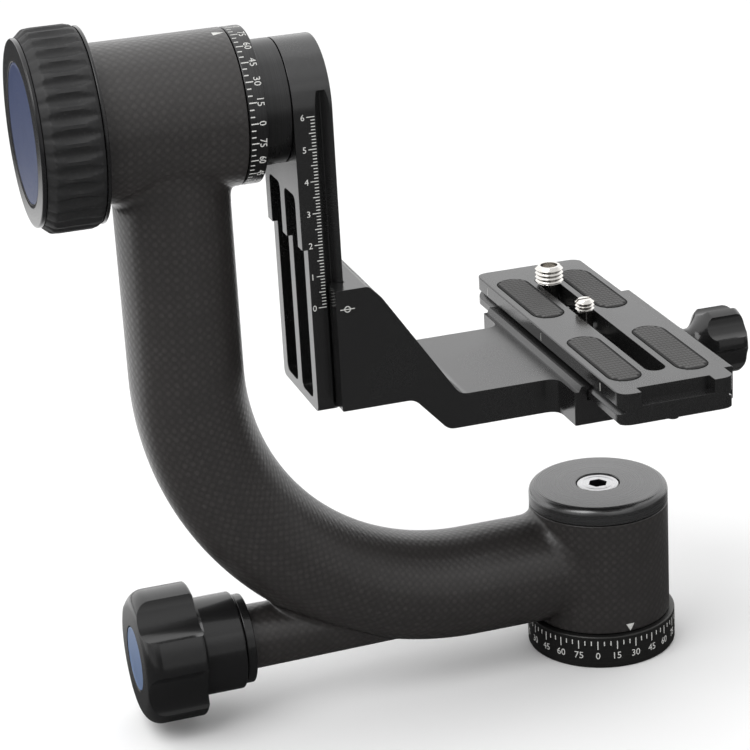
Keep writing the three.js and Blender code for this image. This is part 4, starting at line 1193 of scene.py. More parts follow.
@dataclass
class PanBase(Assembly):
    """The graduated base ring, its tripod socket and the screws that hold it.

    Attributes:
        radius: The ring's radius.
        height: The ring's height.
        bore: The bore for the threaded bush.
        recess: The radius of the recess for the spindle's flange.
        floor: The height of the recess's floor.
        zero: The angle of the scale's zero, in degrees.
        screws: How many screws hold the spindle.
        screw_circle: The radius on which they stand.
        holes: The radii of a screw's bore and counterbore.
        sink: The depth of the counterbore.
        pitch: The tripod thread's pitch.
        thread: The radii of the tripod thread's crests and roots.
        bush: The outside of the threaded bush.
        spindle_screw: A spindle screw's profile.
        cap_screw: The centre screw's profile.
    """

    radius: float = 24.9
    height: float = 11.4
    bore: float = 7.3
    recess: float = 15.3
    floor: float = 7.8
    zero: float = -115.0
    screws: int = 3
    screw_circle: float = 11.0
    holes: Point = (1.8, 3.1)
    sink: float = 3.9
    pitch: float = 1.5875
    thread: Point = (4.76, 5.3)
    bush: tuple[Point, ...] = ((5.4, 0.3), (6.7, 0.3), (7.0, 0.6), (7.0, 7.8), (4.9, 7.8))
    spindle_screw: Profile = (
        (0.0, 0.6, 0.0), (2.8, 0.6, 0.3), (2.8, 3.6, 0.15), (1.5, 3.6, 0.0), (1.5, 9.9, 0.2), (0.0, 9.9, 0.0)
    )
    cap_screw: Profile = (
        (0.0, 34.0, 0.0), (3.8, 34.0, 0.4), (3.8, 48.4, 0.0), (7.0, 48.4, 0.0), (7.0, 56.5, 0.4),
        (5.35, 56.5, 0.1), (5.15, 56.3, 0.1), (4.95, 56.5, 0.1), (0.0, 56.5, 0.0),
    )

    def build(self) -> None:
        """Make the pieces of the base."""
        self.ring()
        DegreeScale("base", "base", self.spot, 9.9, (-3.0, -1.6), 0.34, 4.6, 2.35, self.zero).build()
        self.threaded_bush()
        self.fasteners()
        self.centre_screw()

    def ring(self) -> None:
        """Turn the ring, with eased rims and a shallow groove under the cup."""
        corners = (
            (self.bore, 0.0, 0.3), (self.radius, 0.0, 0.7), (self.radius, self.height, 0.5),
            (self.recess, self.height, 0.3), (self.recess, self.floor, 0.0), (self.bore, self.floor, 0.0),
        )
        ring = turned("base_ring", corners, Way.Z, ORIGIN, 144, loop=True, steps=4)
        for i in range(self.screws):
            at = around(ORIGIN, self.screw_circle, math.pi / 2 + math.tau * i / self.screws)
            for radius, depth in zip(self.holes, (self.height, self.sink)):
                carve(ring, round_bar(radius, -BEYOND, depth, Way.Z, at))
        fit(ring, RING, "base", "pan_base_ring")

    def spot(self, degrees: float, height: float) -> Spot:
        """Where the marks at an angle and a height lie on the ring's side.

        Args:
            degrees: The angle.
            height: The height of the marks' middle.

        Returns:
            The place of (right, up, out) from that middle.
        """

        def at(right: float, up: float, out: float) -> Vector:
            """Wrap one point round the ring."""
            flat = around(ORIGIN, self.radius + out, math.radians(degrees) + right / self.radius)
            return Vector((*flat, height + up))

        return at

    def threaded_bush(self) -> None:
        """Turn the threaded bush that takes the tripod's stud."""
        crest, root = self.thread
        inside: list[Point] = []
        for i in range(int((self.floor - 0.6) / self.pitch)):
            low = self.floor - 0.3 - i * self.pitch
            inside += [(crest, low - 0.1), (root, low - self.pitch / 2)]
        bush = lathe("tripod_bush", [*self.bush, *inside], Way.Z, sides=64)
        fit(bush, STEEL_Z, "base", "thread_bush", crisp=28.0)

    def fasteners(self) -> None:
        """Make one socket screw, and turn its copies round the underside."""
        at = around(ORIGIN, self.screw_circle, math.pi / 2)
        key = (2.5, 0.0, 2.4)
        first = SocketScrew("spindle_screw_face_1", self.spindle_screw, Way.Z, at, 36, key).piece()
        screws = [first]
        for i in range(1, self.screws):
            turn = Matrix.Rotation(math.tau * i / self.screws, 4, "Z")
            twin = copy_of(first, f"spindle_screw_face_{i + 1}")
            sculpt(twin, lambda point, turn=turn: turn @ point)
            screws.append(twin)
        for i, screw in enumerate(screws):
            fit(screw, BLACK_STEEL, "base", f"spindle_screw_{i + 1}")

    def centre_screw(self) -> None:
        """Make the silver screw in the middle of the cap, with painted shade in its key socket."""
        screw = SocketScrew("centre_screw_face", self.cap_screw, Way.Z, ORIGIN, 96, (5.7, 52.5, 57.0)).piece()
        soften(screw, 0.12, 1, 50.0)
        fit(screw, SILVER, "base", "pan_centre_screw")
        # Painted shade: the faces inside the key socket, under its rim, get the near-black finish.
        tint(screw, SOCKET_SHADE, lambda place: place.z < 56.15 and math.hypot(place.x, place.y) < 3.4)


@dataclass
class GimbalArm(Assembly):
    """The one-piece arm: bent tube, cup, housing and pan-lock tube, with the cap and the lock's bush.

    Attributes:
        x: Where the upright run stands.
        radius: The tube's radius.
        top: The height of the tilt axis.
        low: The height of the level run's centre line.
        bend: The radius of the bend's centre line.
        housing: The housing's outer and inner radius.
        housing_ends: Where the housing starts and ends along X.
        cup: The cup's outer and inner radius.
        cup_ends: Where the cup starts and ends along Z.
        wall: How far the tube reaches into the housing and the cup.
        lock_ends: Where the pan lock's tube starts and ends along X.
        lock_radii: Its radii there.
        sides: The facets round the tube.
        parts: The parts of its upright run, its bend and its level run.
        pan_pointer: The angle of the pointer over the base's scale, in degrees.
        pan_pointer_corners: Its corners, as the distance to the right and the height.
        tilt_pointer: The other pointer's place along X, its angle, and the length of its taper.
        pitch: The size of a cell of the cloth.
        lift: How far the fillets stand clear of the round surfaces.
        cap: The profile of the cap on the cup.
        bush: The profile of the lock's flanged bush.
    """

    x: float = -136.6
    radius: float = 18.0
    top: float = TILT_CENTRE[1]
    low: float = 30.1
    bend: float = 89.0
    housing: Point = (24.0, 20.8)
    housing_ends: Point = (-159.2, -116.7)
    cup: Point = (23.2, 20.2)
    cup_ends: Point = (11.7, 50.8)
    wall: float = 1.5
    lock_ends: Point = (-124.1, -70.0)
    lock_radii: Point = (10.6, 9.9)
    sides: int = 80
    parts: tuple[int, int, int] = (8, 56, 4)
    pan_pointer: float = -87.5
    pan_pointer_corners: tuple[Point, ...] = ((-1.45, 14.55), (1.45, 14.55), (0.0, 11.95))
    tilt_pointer: Triple = (-119.2, 80.0, 3.6)
    pitch: float = 2.8
    lift: float = 0.07
    cap: Profile = (
        (7.35, 51.1, 0.0), (13.4, 51.1, 0.0), (13.4, 46.3, 0.0), (16.0, 46.3, 0.0),
        (16.0, 51.1, 0.0), (23.2, 51.1, 0.25), (23.2, 56.8, 2.5), (7.35, 56.8, 0.35),
    )
    bush: Profile = (
        (3.35, -127.5, 0.0), (14.6, -127.5, 0.5), (14.6, -124.4, 0.4),
        (7.0, -124.4, 0.0), (7.0, -112.1, 0.3), (3.35, -112.1, 0.0),
    )

    def build(self) -> None:
        """Make the pieces of the arm."""
        self.tube()
        self.shells()
        self.fillets()
        self.lock_tube()
        cap = turned("pan_cap_face", self.cap, Way.Z, ORIGIN, 144, loop=True, steps=6)
        fit(cap, POLISHED, "arm", "pan_cap")
        bush = turned("lock_flange", self.bush, Way.X, LOCK_CENTRE, 96, loop=True, steps=4)
        fit(bush, KNOB, "arm", "pan_lock_bush", slot=Slot.ANODISED)
        self.pointer()
        paint("tilt_pointer", [stroke((3.4, 2.4), self.over)], "arm", Slot.CARBON)

    def hub(self) -> Point:
        """The centre of the bend, as X and Z."""
        return self.x + self.bend, self.low + self.bend

    def girth(self, radius: float) -> float:
        """The radius at which whole cells of cloth go round a piece."""
        return round(math.tau * radius / self.pitch) * self.pitch / math.tau

    def unroll(self, place: Vector) -> Point:
        """Read a place on the tube.

        Args:
            place: The place.

        Returns:
            The angle round the tube, and the length along its centre line.
        """
        hub_x, hub_z = self.hub()
        run = self.top - hub_z
        if place.z >= hub_z:
            return math.atan2(place.y, self.x - place.x), self.top - place.z
        if place.x >= hub_x:
            angle = math.atan2(place.y, self.low - place.z)
            return angle, run + self.bend * math.pi / 2 + place.x - hub_x
        turn = math.atan2(hub_z - place.z, hub_x - place.x)
        out = math.hypot(hub_x - place.x, hub_z - place.z) - self.bend
        return math.atan2(place.y, out), run + self.bend * turn

    def chart(self, point: Vector, middle: Vector) -> Point:
        """Lay the cloth on the tube: round it first, then along it.

        Args:
            point: A corner of a face.
            middle: The middle of that face.

        Returns:
            Where the corner lies on the cloth.
        """
        angle, along = self.unroll(point)
        home = near(self.unroll(middle)[0], -math.pi / 2)
        return near(angle, home) * self.girth(self.radius), along

    def clothe(self, piece: Piece, chart: Chart, crisp: float = CRISP) -> None:
        """Lay the cloth on a piece of the arm and fit it."""
        lay_uv(piece, chart)
        fit(piece, CARBON, "arm", "gimbal_arm", crisp=crisp)

    def tube(self) -> None:
        """Shape the bent tube: a circle extruded down, spun round the bend and extruded to the cup."""
        put_down()
        circle = {"vertices": self.sides, "radius": self.radius * MM, "fill_type": "NOTHING"}
        bpy.ops.mesh.primitive_circle_add(location=(0.0, 0.0, 0.0), **circle)
        tube = named("arm_tube")
        open_mesh(tube)
        bpy.ops.transform.translate(value=Vector((self.x, 0.0, self.top)) * MM)
        hub_x, hub_z = self.hub()
        centre = Way.Y.place(hub_x, hub_z, 0.0)
        upright, bend, level = self.parts
        for _ in range(upright):
            extrude(Vector((0.0, 0.0, hub_z - self.top)) / upright)
        quarter = {"steps": bend, "angle": math.pi / 2, "axis": Way.Y.axis()}
        bpy.ops.mesh.spin(center=centre, use_auto_merge=False, **quarter)
        for _ in range(level):
            extrude(Vector((-hub_x, 0.0, 0.0)) / level)
        bpy.ops.mesh.select_all(action="SELECT")
        bpy.ops.mesh.remove_doubles(threshold=MERGE)
        bpy.ops.mesh.fill_holes(sides=0)
        close_mesh()
        carve(
            tube,
            round_bar(self.cup[0] - self.wall, 0.0, 80.0, Way.Z, ORIGIN, 64),
            round_bar(self.housing[0] - self.wall, -180.0, -100.0, Way.X, TILT_CENTRE, 64),
        )
        self.clothe(tube, self.chart)

    def shell(self, name: str, radii: Point, ends: Point, rims: Point, way: Way, centre: Point) -> Piece:
        """Turn a shell of the arm.

        Args:
            name: The new piece's name.
            radii: The outer and the inner radius.
            ends: Where it starts and ends along the axis.
            rims: The rounding of the outer rims there.
            way: The axis.
            centre: Where the axis stands.

        Returns:
            The shell.
        """
        outer, inner = radii
        start, end = ends
        corners = ((inner, start, 0.0), (outer, start, rims[0]), (outer, end, rims[1]), (inner, end, 0.0))
        return turned(name, corners, way, centre, 144, loop=True, steps=4)

    def shells(self) -> None:
        """Turn the housing round the tilt axis, and the cup over the base with its way for the brake shoe."""
        housing = self.shell("arm_housing", self.housing, self.housing_ends, (0.9, 0.5), Way.X, TILT_CENTRE)
        self.clothe(housing, round_chart(Way.X, TILT_CENTRE, self.girth(self.housing[0]), math.pi))
        cup = self.shell("arm_cup", self.cup, self.cup_ends, (0.5, 0.35), Way.Z, ORIGIN)
        low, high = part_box("pan_brake_shoe")
        room = (high.y - low.y) / MM / 2 + 0.4
        carve(cup, round_bar(room, -30.0, 0.0, Way.X, LOCK_CENTRE, 48))
        self.clothe(cup, round_chart(Way.Z, ORIGIN, self.girth(self.cup[0]), -math.pi / 2))

    def lock_tube(self) -> None:
        """Turn the small tube that carries the pan lock into the cup."""
        (start, end), (first, last) = self.lock_ends, self.lock_radii
        corners = ((0.0, start, 0.0), (first, start, 0.4), (last, end, 0.0), (0.0, end, 0.0))
        tube = turned("arm_lock_tube", corners, Way.X, LOCK_CENTRE, 96, steps=4)
        self.clothe(tube, round_chart(Way.X, LOCK_CENTRE, self.girth(10.3), math.pi))

    def spine(self, place: Vector) -> Vector:
        """Find the nearest point of the tube's centre line.

        Args:
            place: A place.

        Returns:
            The nearest point.
        """
        hub_x, hub_z = self.hub()
        if place.z >= hub_z:
            return Vector((self.x, 0.0, place.z))
        if place.x >= hub_x:
            return Vector((place.x, 0.0, self.low))
        hub = Vector((hub_x, 0.0, hub_z))
        out = Vector((place.x - hub.x, 0.0, place.z - hub.z))
        return hub + out.normalized() * self.bend

    def strip(
        self,
        name: str,
        corner: Callable[[float], Vector],
        foot: Callable[[float], Vector],
        edge: Callable[[float], Vector],
        axis: Move,
        radius: float,
    ) -> None:
        """A filleted strip round the crease where the tube meets another round surface.

        Args:
            name: The strip's name.
            corner: The crease's point at an angle.
            foot: Where the strip starts.
            edge: Where it ends.
            axis: The nearest point of the other surface's axis.
            radius: The other surface's radius.
        """
        spines = ((self.spine, self.radius), (axis, radius))

        def clear(place: Vector) -> Vector:
            """Move a point out of the two surfaces.

            Args:
                place: The point.

            Returns:
                Its place in the clear.
            """
            for middle, size in spines:
                centre = middle(place)
                out = place - centre
                if out.length < size + self.lift:
                    place = centre + out.normalized() * (size + self.lift)
            return place

        rings = []
        shares = [k / STRIP_ROWS for k in range(STRIP_ROWS + 1)]
        for i in range(STRIP_SIDES):
            angle = math.tau * i / STRIP_SIDES
            crease, start, end = corner(angle), foot(angle), edge(angle)
            ring = [clear(start * (1 - t) ** 2 + crease * 2 * t * (1 - t) + end * t * t) for t in shares]
            inward = sum(((middle(crease) - crease).normalized() for middle, _ in spines), Vector())
            ring.append(crease + inward.normalized() * 1.2)
            rings.append(ring)
        self.clothe(ringed(name, rings), self.chart, 60.0)

    def under(self, angle: float, reach: float = 0.0) -> Vector:
        """The place on the housing at an angle round the tube and a reach out from it."""
        x, y = around((self.x, 0.0), self.radius + reach, angle)
        return Vector((x, y, self.top - math.sqrt(self.housing[0] ** 2 - y * y)))

    def beside(self, angle: float, reach: float = 0.0) -> Vector:
        """The place on the cup at an angle round the tube and a reach out from it."""
        y, z = around((0.0, self.low), self.radius + reach, angle)
        return Vector((-math.sqrt(self.cup[0] ** 2 - y * y), y, z))

    def lock(self, angle: float, x: float) -> Vector:
        """Find a place on the pan lock's tube.

        Args:
            angle: The angle round that tube.
            x: The place along it.

        Returns:
            The place.
        """
        (start, end), (first, last) = self.lock_ends, self.lock_radii
        radius = first + (last - first) * (x - start) / (end - start)
        return Vector((x, *around(LOCK_CENTRE, radius, angle)))

    def meet(self, angle: float) -> Vector:
        """Find where the pan lock's tube enters the bend, by halving.

        Args:
            angle: The angle round the pan lock's tube.

        Returns:
            The place.
        """
        low, high = -124.0, -66.0
        for _ in range(HALVINGS):
            middle = (low + high) / 2
            place = self.lock(angle, middle)
            if (place - self.spine(place)).length > self.radius:
                low = middle
            else:
                high = middle
        return self.lock(angle, high)

    def climb(self, angle: float) -> Vector:
        """Find the upper end of the web between the pan lock's tube and the bend.

        Args:
            angle: The angle round the pan lock's tube.

        Returns:
            The place, on the bend.
        """
        place = self.meet(angle)
        out = place - Vector((place.x, *LOCK_CENTRE))
        place = place + out.normalized() * self.share(angle, 2.0, 4.0, 0.3)
        centre = self.spine(place)
        return centre + (place - centre).normalized() * self.radius

    @staticmethod
    def share(angle: float, side: float, top: float, bottom: float) -> float:
        """A length that changes round a level tube."""
        rise = math.sin(angle)
        return side * (1.0 - rise * rise) + (top if rise > 0 else bottom) * rise * rise

    def fillets(self) -> None:
        """Lay the fillets under the housing, beside the cup and round the pan lock's tube."""
        self.strip(
            "arm_fillet_upper",
            self.under,
            lambda angle: self.under(angle) - Vector((0.0, 0.0, 3.6 + math.cos(angle))),
            lambda angle: self.under(angle, 2.6 - math.cos(angle)),
            lambda place: Vector((place.x, 0.0, self.top)),
            self.housing[0],
        )
        self.strip(
            "arm_fillet_lower",
            self.beside,
            lambda angle: self.beside(angle) - Vector((self.share(angle, 5.0, 4.8, 0.8), 0.0, 0.0)),
            lambda angle: self.beside(angle, self.share(angle, 3.4, 2.4, 0.35)),
            lambda place: Vector((0.0, 0.0, place.z)),
            self.cup[0],
        )
        self.strip(
            "arm_fillet_lock",
            self.meet,
            lambda angle: self.lock(angle, self.meet(angle).x - self.share(angle, 3.0, 5.0, 1.0)),
            self.climb,
            lambda place: Vector((place.x, *LOCK_CENTRE)),
            self.lock_radii[1],
        )

    def pointer(self) -> None:
        """Paint the white pointer over the base's scale."""
        angle = math.radians(self.pan_pointer)
        radius = self.cup[0]
        points = []
        for right, height in self.pan_pointer_corners:
            points.append(Vector((*around(ORIGIN, radius, angle + right / radius), height)) * MM)
        pointer = draw_wire("pan_pointer", points)
        bpy.ops.mesh.select_all(action="SELECT")
        bpy.ops.mesh.edge_face_add()
        bpy.ops.mesh.subdivide(number_cuts=3)
        outward = Vector((*around(ORIGIN, 1.0, angle), 0.0))
        extrude(outward * 0.1)
        close_mesh()
        middle = points[0].dot(outward) / MM + 0.05

        def wrap(point: Vector) -> Vector:
            """Lay one corner on the cup, in or out of its surface."""
            reach = radius + (FIGURE_TOP if outward.dot(point) > middle else -FIGURE_TOP)
            return Vector((*around(ORIGIN, reach, math.atan2(point.y, point.x)), point.z))

        sculpt(pointer, wrap)
        paint("pan_pointer", [pointer], "arm", Slot.CARBON)

    def over(self, right: float, up: float, out: float) -> Vector:
        """Find a place on top of the housing, on a triangle that points at the ring.

        Args:
            right: The distance toward the ring.
            up: The distance across.
            out: The height over the surface.

        Returns:
            The place.
        """
        x, angle, taper = self.tilt_pointer
        turn = math.radians(angle) + up * (0.5 - right / taper) / self.housing[0]
        y, z = around(ORIGIN, self.housing[0] + out, turn)
        return Vector((x + right, -y, self.top + z))


@dataclass
class PanKnob(Assembly):
    """The lobed knob that locks the pan, with its inset disc.

    Attributes:
        front: The front face.
        shoulder: Where the lobed head meets the skirt.
        back: The end of the skirt.
        head: The radius over the lobes.
        skirt: The skirt's radius.
        dome: The rounding of the front edge.
        disc: The inset disc's radius.
        play: The disc's clearance.
        lobes: The scallops' radius and depth, and the angle of the first.
        count: The number of lobes.
    """

    front: float = -161.4
    shoulder: float = -141.85
    back: float = -127.85
    head: float = 22.0
    skirt: float = 15.9
    dome: float = 5.5
    disc: float = 10.3
    play: float = 0.3
    lobes: Triple = (14.0, 4.1, 51.5)
    count: int = 5

    def build(self) -> None:
        """Make the knob and its disc."""
        seat = self.disc + self.play
        profile = (
            (0.0, self.front + 1.0, 0.0), (seat, self.front + 1.0, 0.0), (seat, self.front, 0.25),
            (self.head, self.front, self.dome), (self.head, self.shoulder, 1.1),
            (self.skirt - 0.3, self.shoulder, 0.4), (self.skirt, self.shoulder + 1.4, 0.6),
            (self.skirt, self.back, 0.7), (0.0, self.back, 0.0),
        )
        knob = turned("pan_knob_body", profile, Way.X, LOCK_CENTRE, 120, steps=9)
        lobes = Lobes(LOCK_CENTRE, self.head, *self.lobes, self.count)
        lobes.cut(knob, self.front - 2.0, self.shoulder + BEYOND)
        soften(knob, 0.5, 3, 28.0)
        fit(knob, KNOB, "pan_lock_knob", "pan_knob", crisp=40.0)
        face, step, rear = (self.front + depth for depth in (0.22, 0.12, 0.7))
        profile = (
            (0.0, face, 0.0), (self.disc - 0.9, face, 0.1), (self.disc - 0.6, step, 0.1),
            (self.disc, step, 0.12), (self.disc, rear, 0.0), (0.0, rear, 0.0),
        )
        disc = turned("pan_knob_inset", profile, Way.X, LOCK_CENTRE, 96)
        fit(disc, SKY, "pan_lock_knob", "pan_knob_disc", crisp=30.0)


@dataclass
class TiltKnob(Assembly):
    """The big fluted knob that locks the tilt: core, rubber grip, glossy cap and navy disc.

    Attributes:
        left: Where the grip starts.
        right: Where the grip ends.
        radius: The grip's radius.
        bore: The grip's bore.
        flutes: The number of flutes.
        depth: The depth of a flute.
        core: The profile of the core behind the grip, with the flange that closes it.
        cap: The profile of the glossy cap with its bright rim.
        disc: The profile of the navy disc set in the cap.
    """

    left: float = -178.0
    right: float = -160.9
    radius: float = 30.5
    bore: float = 27.3
    flutes: int = 36
    depth: float = 1.15
    core: Profile = (
        (0.0, -176.7, 0.0), (27.0, -176.7, 0.3), (27.0, -160.6, 0.0), (29.6, -160.6, 0.3),
        (29.6, -159.5, 0.3), (5.2, -159.5, 0.0), (5.2, -168.0, 0.0), (0.0, -168.0, 0.0),
    )
    cap: Profile = (
        (0.0, -178.5, 0.0), (21.3, -178.5, 0.0), (21.3, -179.45, 0.15), (22.2, -179.6, 0.3),
        (28.1, -179.6, 1.5), (28.1, -178.3, 0.0), (27.0, -178.3, 0.0), (27.0, -177.0, 0.0),
        (0.0, -177.0, 0.0),
    )
    disc: Profile = (
        (0.0, -179.34, 0.0), (20.4, -179.34, 0.1), (20.5, -179.2, 0.1), (20.7, -179.34, 0.1),
        (21.0, -179.3, 0.1), (21.0, -178.8, 0.0), (0.0, -178.8, 0.0),
    )

    def build(self) -> None:
        """Make the pieces of the knob."""
        core = turned("tilt_knob_flange", self.core, Way.X, TILT_CENTRE, 120)
        fit(core, KNOB, "tilt_lock_knob", "tilt_knob_core")
        self.grip()
        cap = turned("tilt_cap", self.cap, Way.X, TILT_CENTRE, 144, steps=6)
        fit(cap, GLOSS, "tilt_lock_knob", "tilt_knob_cap")
        disc = turned("tilt_disc", self.disc, Way.X, TILT_CENTRE, 144)
        fit(disc, NAVY, "tilt_lock_knob", "tilt_knob_disc", crisp=30.0)

    def grip(self) -> None:
        """Turn the rubber grip, and press in the flutes, which narrow to a point at both ends."""
        rim = (
            (self.radius - 2.4, self.left, 0.3),
            (self.radius - 0.2, self.left + 2.4, 1.6),
            (self.radius, self.left + 5.0, 0.0),
        )
        rows = [(self.bore, self.left), *eased(rim, steps=3)]
        run = self.right - self.left - 7.4
        rows += [(self.radius, self.left + 5.0 + run * k / 10) for k in range(1, 11)]
        rows += [(self.radius - 0.35, self.right - 1.0), (self.radius - 1.1, self.right)]
        rows.append((self.bore, self.right))
        grip = lathe("tilt_grip", rows, Way.X, TILT_CENTRE, self.flutes * 10)
        sculpt(grip, self.flute)
        fit(grip, RUBBER, "tilt_lock_knob", "tilt_knob_grip", crisp=26.0)

    def flute(self, point: Vector) -> Vector:
        """Press one point into its flute.

        Args:
            point: The point.

        Returns:
            Its new place.
        """
        pitch = math.tau / self.flutes
        angle, radius, along = Way.X.polar(point, TILT_CENTRE)
        middle = ((along - self.left) / (self.right - self.left) - 0.5) / 0.47
        if radius < self.bore + 0.5 or abs(middle) >= 1.0:
            return point
        narrow = math.sqrt(1.0 - middle * middle)
        offset = angle - pitch * round(angle / pitch)
        press = max(0.0, 1.0 - (offset / (0.4 * pitch * narrow)) ** 2)
        factor = 1.0 - self.depth * press * narrow / radius
        return Vector((point.x, point.y * factor, TILT_CENTRE[1] + (point.z - TILT_CENTRE[1]) * factor))


@dataclass
class Cradle(Assembly):
    """What turns on the tilt axis: the graduated ring, the hub and the upright plate.

    Attributes:
        frame: The loaded frame.
        bore: The bore of the ring and the hub.
        ring: The ring's radius.
        ring_ends: Where the ring starts and ends.
        hub: The hub's radius.
        hub_ends: Where the hub starts and ends.
        edge: The plate's marked edge, as a place along Y.
        zero: The height of the ruler's zero.
        ticks: Where the ruler's marks end, along X.
        bolt: The profile of the bolt that draws the plate on to the axle.
    """

    frame: dict
    bore: float = 10.15
    ring: float = 23.9
    ring_ends: Point = (-116.4, -110.8)
    hub: float = 19.1
    hub_ends: Point = (-110.5, -102.1)
    edge: float = -19.1
    zero: float = 140.2
    ticks: float = -95.35
    bolt: Profile = (
        (0.0, -119.0, 0.0), (4.0, -119.0, 0.4), (4.0, -95.0, 0.0),
        (6.6, -95.0, 0.2), (6.6, -90.2, 0.5), (0.0, -90.2, 0.0),
    )

    def build(self) -> None:
        """Make the pieces of the cradle."""
        self.collar("tilt_ring", "tilt_scale_ring", self.ring, self.ring_ends, (0.35, 0.35))
        self.collar("tilt_hub_face", "tilt_hub", self.hub, self.hub_ends, (0.2, 0.3))
        root = self.ring_ends[0] + 0.4
        DegreeScale("tilt", "cradle_plate", self.spot, root, (2.3, 1.35), 0.36, -112.45, 2.1).build()
        machined(self.frame, "swing_plate", "upright_plate", 0.32, "cradle_plate")
        self.ruler()
        bolt = SocketScrew("axle_bolt_face", self.bolt, Way.X, TILT_CENTRE, 64, (6.0, -92.6, -89.0))
        fit(bolt.piece(), BLACK_STEEL, "cradle_plate", "axle_bolt")

    def collar(self, name: str, node: str, radius: float, ends: Point, rims: Point) -> None:
        """Turn a collar on the tilt axis.

        Args:
            name: The new piece's name.
            node: The CAD node that it replaces.
            radius: The collar's radius.
            ends: Where it starts and ends along X.
            rims: The rounding of its rims there.
        """
        left, right = ends
        corners = (
            (self.bore, left, 0.0), (radius, left, rims[0]),
            (radius, right, rims[1]), (self.bore, right, 0.0),
        )
        collar = turned(name, corners, Way.X, TILT_CENTRE, 144, loop=True, steps=4)
        fit(collar, HUB, "cradle_plate", node)

    def spot(self, degrees: float, x: float) -> Spot:
        """Where the marks at an angle lie on the ring; the writing reads downwards at the front.

        Args:
            degrees: The angle.
            x: The place of the marks' middle along X.

        Returns:
            The place of (right, up, out) from that middle.
        """

        def at(right: float, up: float, out: float) -> Vector:
            """Wrap one point round the ring."""
            y, z = around(ORIGIN, self.ring + out, math.radians(degrees) - right / self.ring)
            return Vector((x + up, -y, TILT_CENTRE[1] + z))

        return at

    def ruler(self) -> None:
        """Paint the sixty millimetre ruler on the plate's edge."""
        strokes, figures = [], []

        def spot(x: float, z: float) -> Spot:
            """Where a mark lies on the plate's edge."""
            return lambda right, up, out: Vector((x + right, self.edge - out, z + up))

        for step in range(61):
            length = 2.5 if step % 10 == 0 else 2.0 if step % 5 == 0 else 1.3
            height = self.zero + step
            strokes.append(stroke((length, 0.26), spot(self.ticks - length / 2, height)))
            if step % 10 == 0:
                figures.append(written(str(step // 10), 1.9, spot(self.ticks - 3.75, height)))
        paint("ruler_marks", strokes, "cradle_plate")
        paint("ruler_figures", figures, "cradle_plate")


@dataclass
class LensBracket(Assembly):
    """The bracket that slides on the upright plate, with its screws and its index mark.

    Attributes:
        frame: The loaded frame.
        side: The bracket's near side, as a place along Y.
        mark: Where the index mark's middle is, as X and Z.
        lines: Each line of the mark: its place along X, its length and its width.
    """

    frame: dict
    side: float = -26.5
    mark: Point = (-90.9, 141.0)
    lines: tuple[Triple, ...] = ((-1.65, 1.35, 0.27), (1.65, 1.35, 0.27), (0.0, 1.6, 0.24))

    def build(self) -> None:
        """Make the bracket's pieces."""
        machined(self.frame, "lens_bracket", "bracket_body", 0.45, "bracket")
        self.screws()
        self.index()

    def screws(self) -> None:
        """Make the two socket screws in the slope that press the gib."""
        for i in (1, 2):
            low, high = box_of(f"height_screw_{i}")
            profile = (
                (0.0, low.x, 0.0), (2.0, low.x, 0.2), (2.0, high.x - 4.0, 0.0),
                (3.5, high.x - 4.0, 0.15), (3.5, high.x, 0.4), (0.0, high.x, 0.0),
            )
            centre = (0.0, (low.z + high.z) / 2)
            key = (3.0, high.x - 2.0, high.x + BEYOND)
            screw = SocketScrew(f"gib_screw_{i}", profile, Way.X, centre, 48, key).piece()
            fit(screw, BLACK_STEEL, "bracket", f"height_screw_{i}")

    def index(self) -> None:
        """Paint the white ring and lines that read the ruler."""
        outside, inside = self.side - STROKE_TOP, self.side - PAINT_ROOT
        profile = [(0.75, outside), (1.02, outside), (1.02, inside), (0.75, inside)]
        marks = [lathe("index_ring", profile, Way.Y, self.mark, 40)]

        def spot(offset: float) -> Spot:
            """Where a line lies on the bracket's side."""
            x, z = self.mark
            return lambda right, up, out: Vector((x + offset + right, self.side - out, z + up))

        marks += [stroke((length, width), spot(offset)) for offset, length, width in self.lines]
        paint("height_index", marks, "bracket")


@dataclass
class QuickClamp(Assembly):
    """The moving jaw, its lobed knob and the washer between them.

    Attributes:
        frame: The loaded frame.
        neck: Where the knob's neck starts.
        head: Where the lobed head starts.
        end: Where the knob ends.
        radius: The radius over the lobes.
        lobes: The scallops' radius and depth, and the angle of the first.
        washer: The washer's profile.
    """

    frame: dict
    neck: float = 31.8
    head: float = 37.0
    end: float = 50.8
    radius: float = 11.4
    lobes: Triple = (6.5, 2.3, 139.0)
    washer: Profile = ((2.85, 30.5, 0.0), (6.0, 30.5, 0.2), (6.0, 31.5, 0.2), (2.85, 31.5, 0.0))

    def build(self) -> None:
        """Make the clamp's pieces."""
        machined(self.frame, "moving_jaw", "clamp_jaw", 0.35, "jaw")
        washer = turned("clamp_washer_face", self.washer, Way.X, CLAMP_CENTRE, 64, loop=True)
        fit(washer, BLACK_STEEL, "clamp_lock_knob", "clamp_washer")
        self.knob()

    def knob(self) -> None:
        """Make the knob: a slim neck that opens into a lobed head with a domed end."""
        flare = []
        for k in range(11):
            wide = 5.5 + (self.radius - 0.8 - 5.5) * (1.0 - math.cos(math.pi / 2 * (k / 10)))
            flare.append((wide, self.neck + 1.6 + (self.head - self.neck) * (k / 10), 0.0))
        profile = (
            (0.0, self.neck, 0.0), (5.4, self.neck, 0.4), *flare, (self.radius, self.head + 2.6, 0.6),
            (self.radius, self.end, 2.5), (4.6, self.end, 0.3), (4.2, self.end - 0.5, 0.3),
            (0.0, self.end - 0.5, 0.0),
        )
        knob = turned("clamp_knob_body", profile, Way.X, CLAMP_CENTRE, 96, steps=6)
        lobes = Lobes(CLAMP_CENTRE, self.radius, *self.lobes, 6)
        lobes.cut(knob, self.neck + 2.0, self.end + BEYOND)
        soften(knob, 0.35, 3, 28.0)
        fit(knob, KNOB, "clamp_lock_knob", "clamp_knob", slot=Slot.CLAMP, crisp=40.0)


